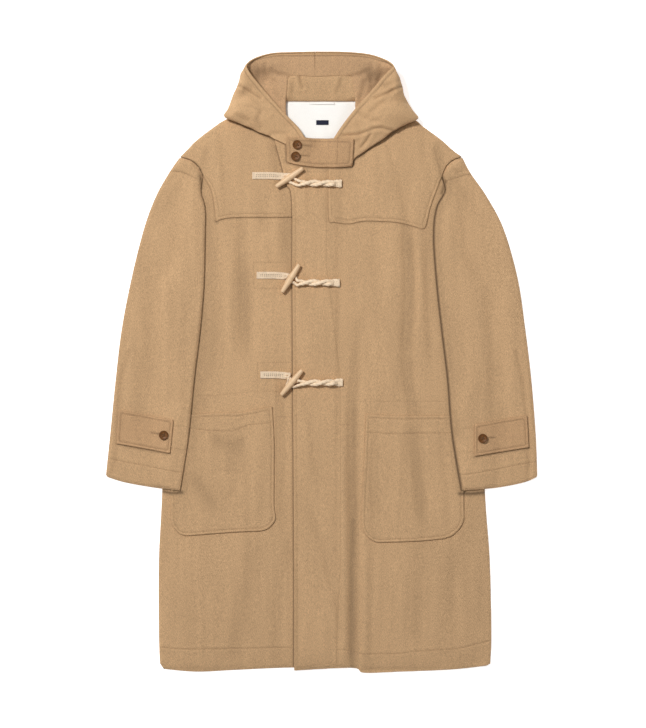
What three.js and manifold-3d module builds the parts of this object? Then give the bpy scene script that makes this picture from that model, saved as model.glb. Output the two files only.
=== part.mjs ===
import * as THREE from 'three';
import { mergeVertices } from 'three/addons/utils/BufferGeometryUtils.js';
import Module from 'manifold-3d';

// A hooded duffle coat laid flat on its back, buttoned up. Sizes are in millimetres. +Y runs from the
// hem to the hood, +Z rises from the surface that the coat lies on, and the origin is in the middle of
// the coat on that surface. Left and right are the wearer's, so the right side is at -X.

const wasm = await Module();
wasm.setup();

// Driving sizes
const CLOTH = 2.4;          // wall of the heavy wool
const LINING = 1.0;         // wall of the cotton lining
const GAP = 0.3;            // between pieces that are sewn together or lie on each other
const LOFT = 3;             // how far a front or a sleeve stands off the layer under it
const EASE = 45;            // width over which that rises from an edge
const COLUMN = 20;          // spacing of the cloth's section lines across the coat
const ROW = 60;             // and along it
const BUTTON = { radius: 8.6, height: 3.6, rim: 1.2, hole: 1.1, pitch: 2.1 };
const TOGGLE = { length: 60, radius: 5.8, end: 3.1, groove: 4.6, grooveHalf: 5.2 };
const CORD = { strand: 2.1, pitch: 26, endWidth: 13, endHeight: 3.2, endLength: 14 };
const TAPE = { width: 13, thickness: 1.8, neck: 5 };

const WOOL = { color: 0xc29d76, roughness: 0.95, metalness: 0 };
const COTTON = { color: 0xf6f2ea, roughness: 0.9, metalness: 0 };
const TWINE = { color: 0xe8d8bb, roughness: 0.9, metalness: 0 };
const WOOD = { color: 0xdcbc95, roughness: 0.6, metalness: 0 };
const HORN = { color: 0x7c5735, roughness: 0.35, metalness: 0 };
const WOVEN = { color: 0x25283c, roughness: 0.8, metalness: 0 };

const table = (columns, ...rows) =>
  rows.map((row) => Object.fromEntries(columns.map((name, k) => [name, row[k]])));

// Edges of the cut pieces. y is the distance up the coat, and right and left are x on each side.
const EDGE = ['y', 'right', 'left'];
const SIDE = table(EDGE,
  [-556, -299, 312],
  [-500, -301, 314],
  [-364, -301, 311],
  [-235, -295, 302],
  [0, -289, 294],
  [135, -286, 290]);
const ARMHOLE = table(EDGE,
  [135, -286, 290],
  [162, -262, 264],
  [200, -246, 246],
  [280, -236, 236],
  [325, -224, 228],
  [345, -219, 223]);
const ARMHOLE_TOP = table(EDGE,
  [345, -219, 223],
  [362, -227, 230],
  [374, -241, 242],
  [381, -262, 260]);
const SHOULDER = table(EDGE,
  [381, -262, 260],
  [395, -248, 241],
  [413, -230, 221],
  [438, -197, 187],
  [450, -178, 172],
  [478, -120, 118],
  [493, -84, 82]);
const NECKLINE = table(EDGE,
  [493, -84, 82],
  [484, -67, 63],
  [462, -66, 62],
  [440, -55, 49],
  [408, -36, 30]);
const SLEEVE_OUTER = table(EDGE,
  [381, -262, 260],
  [352, -282, 275],
  [307, -307, 306],
  [247, -329, 337],
  [155, -352, 363],
  [61, -370, 377],
  [-31, -381, 388],
  [-131, -391, 396],
  [-207, -399, 399]);
const CUFF = table(EDGE,
  [-211, -396, 398],
  [-221, -363, 374],
  [-231, -306, 322],
  [-236, -261, 259]);
const SLEEVE_INNER = table(EDGE,
  [-236, -261, 259],
  [-131, -245, 242],
  [-31, -235, 234],
  [61, -224, 223],
  [144, -217, 214],
  [231, -215, 208],
  [284, -215, 213],
  [318, -223, 229],
  [345, -219, 223]);

// Hem of each front, from its outer corner to its inner one.
const POINT = ['x', 'y'];
const HEM_RIGHT = table(POINT, [-292, -566], [-232, -571], [-164, -568], [-77, -564], [24, -562]);
const HEM_LEFT = table(POINT,
  [-51, -569], [56, -564], [78, -573], [145, -571], [240, -567], [305, -560]);
const FRONT_EDGE = table(POINT,
  [-87, 413], [-77, 376], [-65, 330], [-55, 300], [-54, 135], [-51, -364], [-51, -569]);

// Where the front pieces run across under the throat tab, and the back across the neck and the hem.
const THROAT_RIGHT = table(POINT, [-20, 398], [24, 396]);
const THROAT_LEFT = table(POINT, [0, 402], [-60, 404]);
const BACK_NECK = table(POINT, [-66, 486], [62, 486]);
const BACK_HEM = table(POINT, [305, -563], [-292, -563]);

const YOKE_RIGHT = {
  front: table(POINT, [-32, 398]),
  lower: table(POINT, [-195, 261], [-177, 267], [-142, 269], [-32, 269]),
  outer: table(POINT, [-218, 344], [-205, 322], [-199, 296], [-195, 261]),
};
const YOKE_LEFT = {
  front: table(POINT, [13, 398], [13, 272], [20, 260]),
  lower: table(POINT, [20, 260], [51, 257], [82, 262], [143, 259], [186, 247]),
  outer: table(POINT, [186, 247], [193, 253], [201, 287], [211, 315], [222, 344]),
};
const POCKET_RIGHT = table(POINT,
  [-279, -98], [-193, -92], [-153, -93], [-91, -80], [-87, -149], [-88, -267], [-83, -290],
  [-102, -310], [-157, -312], [-260, -320], [-278, -299]);
const POCKET_LEFT = table(POINT,
  [82, -95], [143, -98], [262, -97], [263, -298], [238, -323], [185, -329], [95, -332],
  [73, -308], [75, -244], [79, -180]);
const CUFF_TAB_RIGHT = table(POINT, [-375, -87], [-379, -149], [-279, -167], [-273, -105]);
const CUFF_TAB_LEFT = table(POINT, [282, -114], [282, -172], [383, -156], [380, -97]);
const THROAT_TAB = table(POINT,
  [-65, 417], [-64, 370], [-35, 363], [10, 360], [57, 362], [60, 413]);
const BACK_LINING = table(POINT, [-72, 485.7], [-72, 400], [64, 400], [64, 485.7]);
// Band round the back of the neck: its ends on each line across, and the height of its middle.
const NECK_BAND = table(['y', 'right', 'left', 'z'],
  [486.4, -60, 54, 2.6],
  [495.5, -59, 52, 7.2],
  [510, -58, 51, 11.8],
  [526, -57, 49, 13.6]);
const HANGER = table(['x', 'z'], [-22, 0], [-12, 1.4], [12, 1.4], [23, 0]);
const HANGER_AT = { y: 480, width: 4, thickness: 1.2 };
const LABEL_THICKNESS = 0.5;
const LABEL = table(POINT, [-10, 449], [-10, 440], [13, 440], [13, 449]);

// Long soft folds of the fronts: each is a hollow along a line, where the cloth falls back to the layer
// under it.
const HOLLOWS = table(['x0', 'y0', 'x1', 'y1', 'width', 'depth'],
  [60, -40, 64, -560, 14, 3],
  [128, 240, 136, -40, 16, 1.6],
  [170, 160, 150, -320, 18, 1.8],
  [-150, 240, -140, -60, 18, 1.2],
  [-120, -330, -170, -560, 22, 1.4],
  [210, -340, 190, -560, 22, 1.4]);

// The hood. Each row is a section: the cloth starts at the neck seam, lies outwards to the roll that is
// the hood's outline, and comes back over itself to the rim of the face opening. low, crest and lip are
// heights over what lies there: of the layer next to the seam, of the roll's top and of the rim.
const SECTION = ['seamX', 'seamY', 'foldX', 'foldY', 'rimX', 'rimY', 'low', 'crest', 'lip'];
const HOOD_RIGHT = table(SECTION,
  [-44, 398, -60, 372, -26, 408, 2.2, 2.8, 2.5],
  [-56, 428, -86, 415, -44, 436, 2.6, 6, 4.5],
  [-64, 448, -112, 428, -60, 452, 2.6, 15, 10],
  [-66, 468, -144, 442, -78, 471, 2.6, 23, 16],
  [-66, 484, -175, 454, -97, 492, 2.6, 29, 21],
  [-64, 500, -165, 475, -112, 509, 2.6, 32, 25],
  [-63, 512, -157, 497, -124, 523, 2.6, 33, 27],
  [-62, 522, -149, 516, -133, 535, 2.6, 32, 28],
  [-59, 529, -143, 533, -137, 545, 2.6, 29, 28],
  [-52, 530, -129, 553, -127, 556, 2.6, 23, 25],
  [-42, 530, -95, 566, -94, 568, 2.6, 15, 18],
  [-28, 529, -54, 570, -53, 571, 2.6, 10, 13],
  [-12.4, 528, -12.4, 571, -12.4, 572, 2.6, 9, 12]);
const HOOD_LEFT = table(SECTION,
  [36, 398, 53, 368, 18, 408, 2.2, 2.8, 2.5],
  [48, 428, 80, 390, 34, 433, 2.6, 6, 4.5],
  [59, 448, 108, 414, 49, 453, 2.6, 15, 10],
  [62, 468, 141, 436, 67, 474, 2.6, 23, 16],
  [62, 484, 173, 450, 87, 496, 2.6, 29, 21],
  [60, 500, 160, 470, 101, 512, 2.6, 32, 25],
  [58, 512, 150, 490, 115, 528, 2.6, 33, 27],
  [57, 522, 145, 508, 127, 540, 2.6, 32, 28],
  [54, 529, 138, 527, 131, 545, 2.6, 29, 28],
  [46, 530, 125, 549, 122, 553, 2.6, 23, 25],
  [30, 530, 91, 563, 90, 565, 2.6, 15, 18],
  [12, 529, 47, 570, 46, 571, 2.6, 10, 13],
  [-11.6, 528, -11.6, 571, -11.6, 572, 2.6, 9, 12]);
// The rest of the hood, folded away under its own rim: layers of doubled cloth, each shorter.
const HOOD_UNDER = table(EDGE,
  [496, -122, 118],
  [510, -142, 136],
  [530, -138, 131],
  [548, -118, 114],
  [560, -70, 70],
  [564, -20, 24]);
const HOOD_LAYERS = table(['start', 'inset'], [496, 2], [512, 4], [534, 6]);
const HOOD_LAYER = 5;
const REST_REACH = { hood: 18, button: 6, toggle: 24, cord: 10 };

// Toggle fastenings, from the throat down: the toggle's middle and direction, the far end of the sewn
// tape, and the height and far end of the twisted cord.
const FASTENINGS = table(['x', 'y', 'turn', 'tapeX', 'tapeY', 'cordX', 'cordY'],
  [-59, 342, 34, -128, 346, 37, 331],
  [-57, 156, 58, -120, 162, 33, 148],
  [-55, -36, 50, -113, -22, 39, -36]);
const THROAT_BUTTONS = table(POINT, [-45, 402], [-48, 381]);
const CUFF_BUTTONS = table(['side', 'x', 'y'], ['right', -291, -133], ['left', 297, -139]);

const group = new THREE.Group();
const vec = (x, y, z = 0) => new THREE.Vector3(x, y, z);
const ramp = (t) => THREE.MathUtils.smoothstep(t, 0, 1);
const mix = THREE.MathUtils.lerp;

// Outlines

function run(rows, side) {
  return rows.map((row) => ({ x: row[side] ?? row.x, y: row.y }));
}

// A smooth line through the points of a run, with about one point every 25 mm.
function smooth(points) {
  const curve = new THREE.SplineCurve(points.map((p) => new THREE.Vector2(p.x, p.y)));
  return curve.getSpacedPoints(Math.max(2, Math.ceil(curve.getLength() / 25)));
}

function outline(...runs) {
  const points = runs.flat().filter((p, k, all) => {
    const last = all[(k + all.length - 1) % all.length];
    return Math.hypot(p.x - last.x, p.y - last.y) > 0.05;
  });
  const area = THREE.ShapeUtils.area(points);
  return area < 0 ? points.reverse() : points;
}

function inside(points, x, y) {
  let hit = false;
  points.forEach((a, k) => {
    const b = points[(k + 1) % points.length];
    if (a.y > y !== b.y > y && x < a.x + ((y - a.y) * (b.x - a.x)) / (b.y - a.y)) hit = !hit;
  });
  return hit;
}

function distanceToLine(x, y, x0, y0, x1, y1) {
  const along = ((x - x0) * (x1 - x0) + (y - y0) * (y1 - y0)) / ((x1 - x0) ** 2 + (y1 - y0) ** 2);
  const t = THREE.MathUtils.clamp(along, 0, 1);
  return Math.hypot(x - mix(x0, x1, t), y - mix(y0, y1, t));
}

function distanceToEdge(points, x, y) {
  return Math.min(...points.map((a, k) => {
    const b = points[(k + 1) % points.length];
    return distanceToLine(x, y, a.x, a.y, b.x, b.y);
  }));
}

// Solids

function toSolid(geometry) {
  const bare = geometry.clone();
  bare.deleteAttribute('normal');
  bare.deleteAttribute('uv');
  const merged = mergeVertices(bare, 1e-4);
  return new wasm.Manifold(new wasm.Mesh({
    numProp: 3,
    vertProperties: new Float32Array(merged.attributes.position.array),
    triVerts: new Uint32Array(merged.index.array),
  }));
}

function toGeometry(solid) {
  const mesh = solid.getMesh();
  const geometry = new THREE.BufferGeometry();
  geometry.setAttribute('position', new THREE.BufferAttribute(mesh.vertProperties, 3));
  geometry.setIndex(new THREE.BufferAttribute(mesh.triVerts, 1));
  return geometry;
}

function fromFaces(points, faces) {
  const geometry = new THREE.BufferGeometry().setFromPoints(points);
  geometry.setIndex(faces);
  return geometry;
}

function prism(points, low, high) {
  const shape = new THREE.Shape(points.map((p) => new THREE.Vector2(p.x, p.y)));
  return new THREE.ExtrudeGeometry(shape, { depth: high - low, bevelEnabled: false })
    .translate(0, 0, low);
}

// A closed skin over a grid of points: rows of equal length, the first and last row capped, and the
// points of each row going round it.
function skin(rings) {
  const size = rings[0].length;
  const faces = [];
  for (let i = 0; i + 1 < rings.length; i += 1) {
    for (let j = 0; j < size; j += 1) {
      const a = i * size + j;
      const b = i * size + ((j + 1) % size);
      faces.push(a, b, b + size, a, b + size, a + size);
    }
  }
  const last = (rings.length - 1) * size;
  for (let j = 1; j + 1 < size; j += 1) {
    faces.push(0, j + 1, j);
    faces.push(last, last + j, last + j + 1);
  }
  return fromFaces(rings.flat(), faces);
}

// A wall of even thickness about a grid of middle points, such as a row of sections.
function shell(lines, thickness = CLOTH) {
  const within = (k, list) => list[THREE.MathUtils.clamp(k, 0, list.length - 1)];
  const middle = (i, k) => within(k, within(i, lines));
  const rings = lines.map((line, i) => {
    const [outer, inner] = [[], []];
    line.forEach((point, k) => {
      const across = middle(i, k + 1).clone().sub(middle(i, k - 1));
      const along = middle(i + 1, k).clone().sub(middle(i - 1, k));
      const normal = across.cross(along).normalize().multiplyScalar(thickness / 2);
      outer.push(point.clone().add(normal));
      inner.push(point.clone().sub(normal));
    });
    return [...outer, ...inner.reverse()];
  });
  const geometry = skin(rings);
  return volume(geometry) < 0 ? skin(rings.reverse()) : geometry;
}

function volume(geometry) {
  const [a, b, c] = [vec(0, 0), vec(0, 0), vec(0, 0)];
  const corners = geometry.index.array;
  let sum = 0;
  for (let k = 0; k < corners.length; k += 3) {
    [a, b, c].forEach((p, n) => p.fromBufferAttribute(geometry.attributes.position, corners[k + n]));
    sum += a.dot(b.cross(c)) / 6;
  }
  return sum;
}

// A piece of cloth lies on the pieces that were laid before it. Heights are worked out at the crossings
// of the section lines, which all pieces share, so that what lies on a piece is parallel to it.
class Cloth {
  constructor(points, { on = [], thickness = CLOTH, loft = 0, hollows = [] } = {}) {
    Object.assign(this, { points, on, thickness, loft, hollows });
    this.heights = new Map();
  }

  inside(x, y) {
    return inside(this.points, x, y);
  }

  // Whether this piece lies over another one in the four cells round a crossing.
  covers(piece, x, y) {
    for (let dx = -COLUMN; dx <= COLUMN; dx += COLUMN / 4) {
      for (let dy = -ROW; dy <= ROW; dy += ROW / 8) {
        if (this.inside(x + dx, y + dy) && piece.inside(x + dx, y + dy)) return true;
      }
    }
    return false;
  }

  lift(x, y) {
    if (!this.loft || !this.inside(x, y)) return 0;
    const fall = this.hollows.reduce((sum, h) => {
      const away = distanceToLine(x, y, h.x0, h.y0, h.x1, h.y1) / h.width;
      return sum + h.depth * Math.exp(-away * away);
    }, 0);
    return Math.max(0, this.loft * ramp(distanceToEdge(this.points, x, y) / EASE) - fall);
  }

  under(i, j) {
    const key = `${i},${j}`;
    if (!this.heights.has(key)) {
      const [x, y] = [i * COLUMN, j * ROW];
      const below = this.on.filter((piece) => this.covers(piece, x, y));
      const rest = Math.max(0, ...below.map((piece) => piece.under(i, j) + piece.thickness + GAP));
      const free = below.some((piece) => piece.loft > 0);
      this.heights.set(key, rest + (free ? 0 : this.lift(x, y)));
    }
    return this.heights.get(key);
  }

  top(x, y) {
    const [u, v] = [x / COLUMN, y / ROW];
    const [i, j] = [Math.floor(u), Math.floor(v)];
    const near = mix(this.under(i, j), this.under(i + 1, j), u - i);
    const far = mix(this.under(i, j + 1), this.under(i + 1, j + 1), u - i);
    return mix(near, far, v - j) + this.thickness;
  }

  geometry() {
    const box = new THREE.Box2().setFromPoints(this.points);
    const [i0, i1] = [Math.floor(box.min.x / COLUMN), Math.ceil(box.max.x / COLUMN)];
    const [j0, j1] = [Math.floor(box.min.y / ROW), Math.ceil(box.max.y / ROW)];
    const rows = j1 - j0 + 1;
    const points = [];
    for (let i = i0; i <= i1; i += 1) {
      for (let j = j0; j <= j1; j += 1) {
        const z = this.under(i, j);
        points.push(vec(i * COLUMN, j * ROW, z), vec(i * COLUMN, j * ROW, z + this.thickness));
      }
    }
    const low = (i, j) => 2 * ((i - i0) * rows + (j - j0));
    const high = (i, j) => low(i, j) + 1;
    const faces = [];
    const quad = (a, b, c, d) => faces.push(a, b, c, a, c, d);
    for (let i = i0; i < i1; i += 1) {
      for (let j = j0; j < j1; j += 1) {
        quad(high(i, j), high(i + 1, j), high(i + 1, j + 1), high(i, j + 1));
        faces.push(low(i, j), low(i + 1, j + 1), low(i + 1, j));
        faces.push(low(i, j), low(i, j + 1), low(i + 1, j + 1));
      }
      quad(low(i, j0), low(i + 1, j0), high(i + 1, j0), high(i, j0));
      quad(low(i + 1, j1), low(i, j1), high(i, j1), high(i + 1, j1));
    }
    for (let j = j0; j < j1; j += 1) {
      quad(low(i1, j), low(i1, j + 1), high(i1, j + 1), high(i1, j));
      quad(low(i0, j + 1), low(i0, j), high(i0, j), high(i0, j + 1));
    }
    const slab = toSolid(fromFaces(points, faces));
    return toGeometry(slab.intersect(toSolid(prism(this.points, -50, 150))));
  }
}

// The highest top of the pieces within reach of a point, and a little clearance.
function restOn(pieces, x, y, reach) {
  let height = 0;
  for (const piece of pieces) {
    for (let dx = -reach; dx <= reach; dx += reach / 2) {
      for (let dy = -reach; dy <= reach; dy += reach / 2) {
        if (piece.inside(x + dx, y + dy)) height = Math.max(height, piece.top(x + dx, y + dy));
      }
    }
  }
  return height + GAP;
}

function add(name, geometry, finish) {
  const mesh = new THREE.Mesh(geometry, new THREE.MeshStandardMaterial(finish));
  mesh.name = name;
  group.add(mesh);
  return mesh;
}

// Body: the back on the surface, and the two fronts on it, the left one lapped over the right one.

const sideEdge = (side) => [...smooth(run(SIDE, side)), ...smooth(run(ARMHOLE, side))];
const shoulderEdge = (side) => [...smooth(run(ARMHOLE_TOP, side)), ...smooth(run(SHOULDER, side))];
const neckEdge = (side) => smooth(run(NECKLINE, side));
const backwards = (points) => [...points].reverse();

const back = new Cloth(outline(
  sideEdge('right'), shoulderEdge('right'), BACK_NECK,
  backwards(shoulderEdge('left')), backwards(sideEdge('left')), BACK_HEM));
const lining = new Cloth(outline(BACK_LINING), { on: [back], thickness: LINING });
const frontRight = new Cloth(outline(
  sideEdge('right'), shoulderEdge('right'), neckEdge('right'), THROAT_RIGHT,
  backwards(smooth(run(HEM_RIGHT)))), { on: [back, lining], loft: LOFT, hollows: HOLLOWS });
const yokeRight = new Cloth(outline(
  backwards(smooth(YOKE_RIGHT.lower)), backwards(smooth(YOKE_RIGHT.outer)),
  shoulderEdge('right'), neckEdge('right'), YOKE_RIGHT.front), { on: [frontRight] });
const frontLeft = new Cloth(outline(
  sideEdge('left'), shoulderEdge('left'), neckEdge('left'), THROAT_LEFT,
  smooth(FRONT_EDGE), smooth(HEM_LEFT)),
{ on: [back, lining, frontRight, yokeRight], loft: LOFT, hollows: HOLLOWS });
const yokeLeft = new Cloth(outline(
  smooth(YOKE_LEFT.front), smooth(YOKE_LEFT.lower), smooth(YOKE_LEFT.outer),
  shoulderEdge('left'), neckEdge('left')), { on: [frontLeft] });
const pocketRight = new Cloth(outline(POCKET_RIGHT), { on: [frontRight] });
const pocketLeft = new Cloth(outline(POCKET_LEFT), { on: [frontLeft] });

add('back', toGeometry(toSolid(prism(back.points, 0, CLOTH))), WOOL);
add('back_lining', toGeometry(toSolid(prism(lining.points, CLOTH + GAP, CLOTH + GAP + LINING))), COTTON);
add('front_right', frontRight.geometry(), WOOL);
add('front_left', frontLeft.geometry(), WOOL);
add('yoke_right', yokeRight.geometry(), WOOL);
add('yoke_left', yokeLeft.geometry(), WOOL);
add('pocket_right', pocketRight.geometry(), WOOL);
add('pocket_left', pocketLeft.geometry(), WOOL);

// Sleeves: each is a flattened tube, a top panel on an under panel, laid over the side of the body.

function sleeve(side, body) {
  const away = side === 'right' ? -GAP : GAP;
  const cap = smooth(run(ARMHOLE_TOP, side)).map((p) => ({ x: p.x + away, y: p.y - GAP }));
  const edge = outline(
    cap.slice(0, -1), smooth(run(SLEEVE_OUTER, side)).slice(1), smooth(run(CUFF, side)),
    smooth(run(SLEEVE_INNER, side)).slice(1, -1));
  const under = new Cloth(edge, { on: body });
  const top = new Cloth(edge, { on: [under], loft: LOFT });
  add(`sleeve_under_${side}`, under.geometry(), WOOL);
  add(`sleeve_top_${side}`, top.geometry(), WOOL);
  return top;
}

const sleeves = {
  right: sleeve('right', [back, frontRight, pocketRight]),
  left: sleeve('left', [back, frontLeft, pocketLeft]),
};
const cuffTabs = {
  right: new Cloth(outline(CUFF_TAB_RIGHT), { on: [sleeves.right] }),
  left: new Cloth(outline(CUFF_TAB_LEFT), { on: [sleeves.left] }),
};
add('cuff_tab_right', cuffTabs.right.geometry(), WOOL);
add('cuff_tab_left', cuffTabs.left.geometry(), WOOL);

// Hood: two halves that meet in a seam at the middle of the rim, over the folded rest of the hood.

const underOutline = outline(smooth(run(HOOD_UNDER, 'right')), backwards(smooth(run(HOOD_UNDER, 'left'))));
const hoodUnder = {
  inside: (x, y) => inside(underOutline, x, y),
  top: (x, y) => HOOD_LAYER * HOOD_LAYERS.filter((layer) => y > layer.start).length,
};

function hoodUnderSolid() {
  const top = Math.max(...underOutline.map((p) => p.y));
  const bottom = Math.min(...underOutline.map((p) => p.y));
  return skin(HOOD_LAYERS.flatMap(({ start, inset }, k) => {
    const middle = { x: -4, y: (start + top) / 2 };
    const ring = (inward, z) => underOutline.map((p) => {
      const y = mix(start, top, (p.y - bottom) / (top - bottom));
      const share = 1 - inward / Math.hypot(p.x - middle.x, y - middle.y);
      return vec(mix(middle.x, p.x, share), mix(middle.y, y, share), z);
    });
    const low = k * HOOD_LAYER;
    const soft = HOOD_LAYER / 3;
    return [
      ring(inset + soft, low), ring(inset, low + soft),
      ring(inset, low + HOOD_LAYER - soft), ring(inset + soft, low + HOOD_LAYER)];
  }));
}

const neckPieces = [back, lining, frontRight, frontLeft, yokeRight, yokeLeft, hoodUnder];

// Middle line of the cloth in one section of the hood, from the seam over the roll to the rim.
function hoodSection(row, steps) {
  const height = (x, y, rise) => restOn(neckPieces, x, y, REST_REACH.hood) + rise;
  const at = (x0, y0, x1, y1, t, rise) => {
    const [x, y] = [mix(x0, x1, t), mix(y0, y1, t)];
    return vec(x, y, height(x, y, rise));
  };
  const { seamX, seamY, foldX, foldY, rimX, rimY, low, crest, lip } = row;
  const curve = new THREE.CatmullRomCurve3([
    at(seamX, seamY, foldX, foldY, 0, low),
    at(seamX, seamY, foldX, foldY, 0.6, low),
    at(seamX, seamY, foldX, foldY, 1, mix(low, crest, 0.45)),
    at(foldX, foldY, rimX, rimY, 0.35, crest),
    at(foldX, foldY, rimX, rimY, 1, lip),
  ], false, 'centripetal');
  return curve.getSpacedPoints(steps);
}

function hoodHalf(sections) {
  const steps = 10;
  const lines = sections.map((row) => hoodSection(row, steps));
  const between = Array.from({ length: steps + 1 }, (_, k) =>
    new THREE.CatmullRomCurve3(lines.map((line) => line[k]), false, 'centripetal').getPoints(18));
  return between[0].map((_, i) => between.map((line) => line[i]));
}

const hoodRight = hoodHalf(HOOD_RIGHT);
const hoodLeft = hoodHalf(HOOD_LEFT);
add('hood_right', shell(hoodRight), WOOL);
add('hood_left', shell(hoodLeft), WOOL);
add('hood_under', hoodUnderSolid(), WOOL);

const bandLines = NECK_BAND.map(({ y, right, left, z }) => [vec(right, y, z), vec(left, y, z)]);
add('neck_band', shell(bandLines), WOOL);

// What lies on the back lining: the loop that the coat hangs by, and a bare label.

const liningTop = CLOTH + GAP + LINING + GAP;
add('hanger_loop', shell(HANGER.map(({ x, z }) => {
  const height = liningTop + z + HANGER_AT.thickness / 2;
  return [-0.5, 0.5].map((side) => vec(x, HANGER_AT.y + side * HANGER_AT.width, height));
}), HANGER_AT.thickness), COTTON);
add('label', prism(outline(LABEL), liningTop, liningTop + LABEL_THICKNESS), WOVEN);

// Throat tab, across the hood's two ends.

const tabOutline = outline(THROAT_TAB);
const underTab = [...hoodRight, ...hoodLeft].flat().filter((p) => inside(tabOutline, p.x, p.y));
const tabUnder = Math.max(...underTab.map((p) => p.z)) + CLOTH / 2 + 2 * GAP;
add('throat_tab', prism(tabOutline, tabUnder, tabUnder + CLOTH), WOOL);

// Buttons, each with a raised rim and four holes

function button() {
  const { radius, height, rim, hole, pitch } = BUTTON;
  const profile = [
    [0, 0], [radius * 0.7, 0], [radius, height * 0.35], [radius, height * 0.75],
    [radius - rim * 0.6, height], [radius - rim * 1.4, height * 0.85],
    [radius - rim * 2.4, height * 0.6], [0, height * 0.6]];
  const disc = new THREE.LatheGeometry(profile.map(([x, y]) => new THREE.Vector2(x, y)), 16);
  let whole = toSolid(disc.rotateX(Math.PI / 2));
  for (const [dx, dy] of [[-1, -1], [1, -1], [1, 1], [-1, 1]]) {
    const drill = new THREE.CylinderGeometry(hole, hole, 3 * height, 6).rotateX(Math.PI / 2);
    whole = whole.subtract(toSolid(drill.translate(dx * pitch, dy * pitch, 0)));
  }
  return toGeometry(whole);
}

THROAT_BUTTONS.forEach(({ x, y }, k) => {
  add(`throat_button_${k + 1}`, button(), HORN).position.set(x, y, tabUnder + CLOTH + GAP);
});
CUFF_BUTTONS.forEach(({ side, x, y }) => {
  add(`cuff_button_${side}`, button(), HORN)
    .position.set(x, y, restOn([cuffTabs[side]], x, y, REST_REACH.button));
});

// Toggle fastenings. A sewn tape holds the toggle by a ring round its groove, and a twisted cord, sewn
// down on the other front, holds it by a second ring.

function toggle() {
  const { length, radius, end, groove, grooveHalf } = TOGGLE;
  const half = [
    [groove, grooveHalf], [radius, grooveHalf + 1], [radius * 0.94, length * 0.22],
    [end * 1.25, length * 0.42], [end, length * 0.48], [end * 0.7, length / 2], [0, length / 2]];
  const profile = [...half.map(([x, y]) => [x, -y]).reverse(), ...half];
  return new THREE.LatheGeometry(profile.map(([x, y]) => new THREE.Vector2(x, y)), 10);
}

function ringSolid(centre, turn) {
  const ring = new THREE.TorusGeometry(TOGGLE.groove + GAP + CORD.strand, CORD.strand, 6, 12);
  ring.rotateY(Math.PI / 2).rotateZ(turn);
  return toSolid(ring.translate(centre.x, centre.y, centre.z));
}

// Section of the twisted cord: two strands side by side, which turn about each other along the cord
// and are pressed flat where the cord is sewn down.
function twistedCord(from, to, floor) {
  const length = from.distanceTo(to);
  const steps = Math.round(length / 5);
  return skin(Array.from({ length: steps + 1 }, (_, k) => {
    const t = k / steps;
    const flat = ramp((t * length - (length - 2 * CORD.endLength)) / CORD.endLength);
    const turned = (Math.PI * t * length) / CORD.pitch * (1 - flat);
    const full = ramp(4 * t);
    const wide = mix(CORD.strand * mix(1, 2, full), CORD.endWidth / 2, flat);
    const high = mix(CORD.strand * mix(1, 1.2, full), CORD.endHeight / 2, flat);
    const x = mix(from.x, to.x, t);
    const y = mix(from.y, to.y, ramp(2 * t));
    const rest = floor(x, y) + Math.hypot(wide * Math.sin(turned), high * Math.cos(turned));
    const z = Math.max(rest, mix(from.z, rest, ramp(3 * t)));
    return Array.from({ length: 8 }, (__, j) => {
      const angle = (2 * Math.PI * j) / 8;
      const [side, up] = [wide * Math.cos(angle), high * Math.sin(angle)];
      return vec(x, y + side * Math.cos(turned) - up * Math.sin(turned),
        z + side * Math.sin(turned) + up * Math.cos(turned));
    });
  }));
}

function sewnTape(from, to, floor) {
  const steps = 6;
  return skin(Array.from({ length: steps + 1 }, (_, k) => {
    const t = k / steps;
    const x = mix(from.x, to.x, t);
    const y = mix(from.y, to.y, ramp(2 * t - 1));
    const narrow = ramp(3 * t - 2);
    const half = mix(TAPE.width, TAPE.neck, narrow) / 2;
    const z = mix(floor(x, y), to.z - TAPE.thickness / 2, narrow);
    const high = z + TAPE.thickness;
    return [vec(x, y - half, z), vec(x, y + half, z), vec(x, y + half, high), vec(x, y - half, high)];
  }));
}

const bodyPieces = [frontRight, frontLeft, yokeRight, yokeLeft];
const floor = (x, y) => restOn(bodyPieces, x, y, REST_REACH.cord);
FASTENINGS.forEach(({ x, y, turn, tapeX, tapeY, cordX, cordY }, k) => {
  const angle = THREE.MathUtils.degToRad(turn);
  const axis = vec(Math.cos(angle), Math.sin(angle));
  const side = vec(Math.sin(angle), -Math.cos(angle));
  const radius = TOGGLE.groove + GAP + CORD.strand;
  const centre = vec(x, y, restOn(bodyPieces, x, y, REST_REACH.toggle) + radius + CORD.strand);
  const apart = CORD.strand + GAP / 2;
  const tapeRing = centre.clone().addScaledVector(axis, -apart);
  const cordRing = centre.clone().addScaledVector(axis, apart);
  const tapeEnd = tapeRing.clone().addScaledVector(side, -radius).add(vec(0, 0, -1));
  const cordEnd = cordRing.clone().addScaledVector(side, radius).add(vec(0, 0, -CORD.strand));
  add(`toggle_${k + 1}`, toggle(), WOOD).position.copy(centre);
  group.children.at(-1).rotation.z = angle - Math.PI / 2;
  const tape = sewnTape(vec(tapeX, tapeY), tapeEnd, floor);
  add(`toggle_tape_${k + 1}`, toGeometry(toSolid(tape).add(ringSolid(tapeRing, angle))), TWINE);
  const cord = twistedCord(cordEnd, vec(cordX, cordY), floor);
  add(`toggle_cord_${k + 1}`, toGeometry(toSolid(cord).add(ringSolid(cordRing, angle))), TWINE);
});

export default group;
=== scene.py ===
import math

import bpy
import numpy as np
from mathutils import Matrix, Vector, geometry


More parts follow.
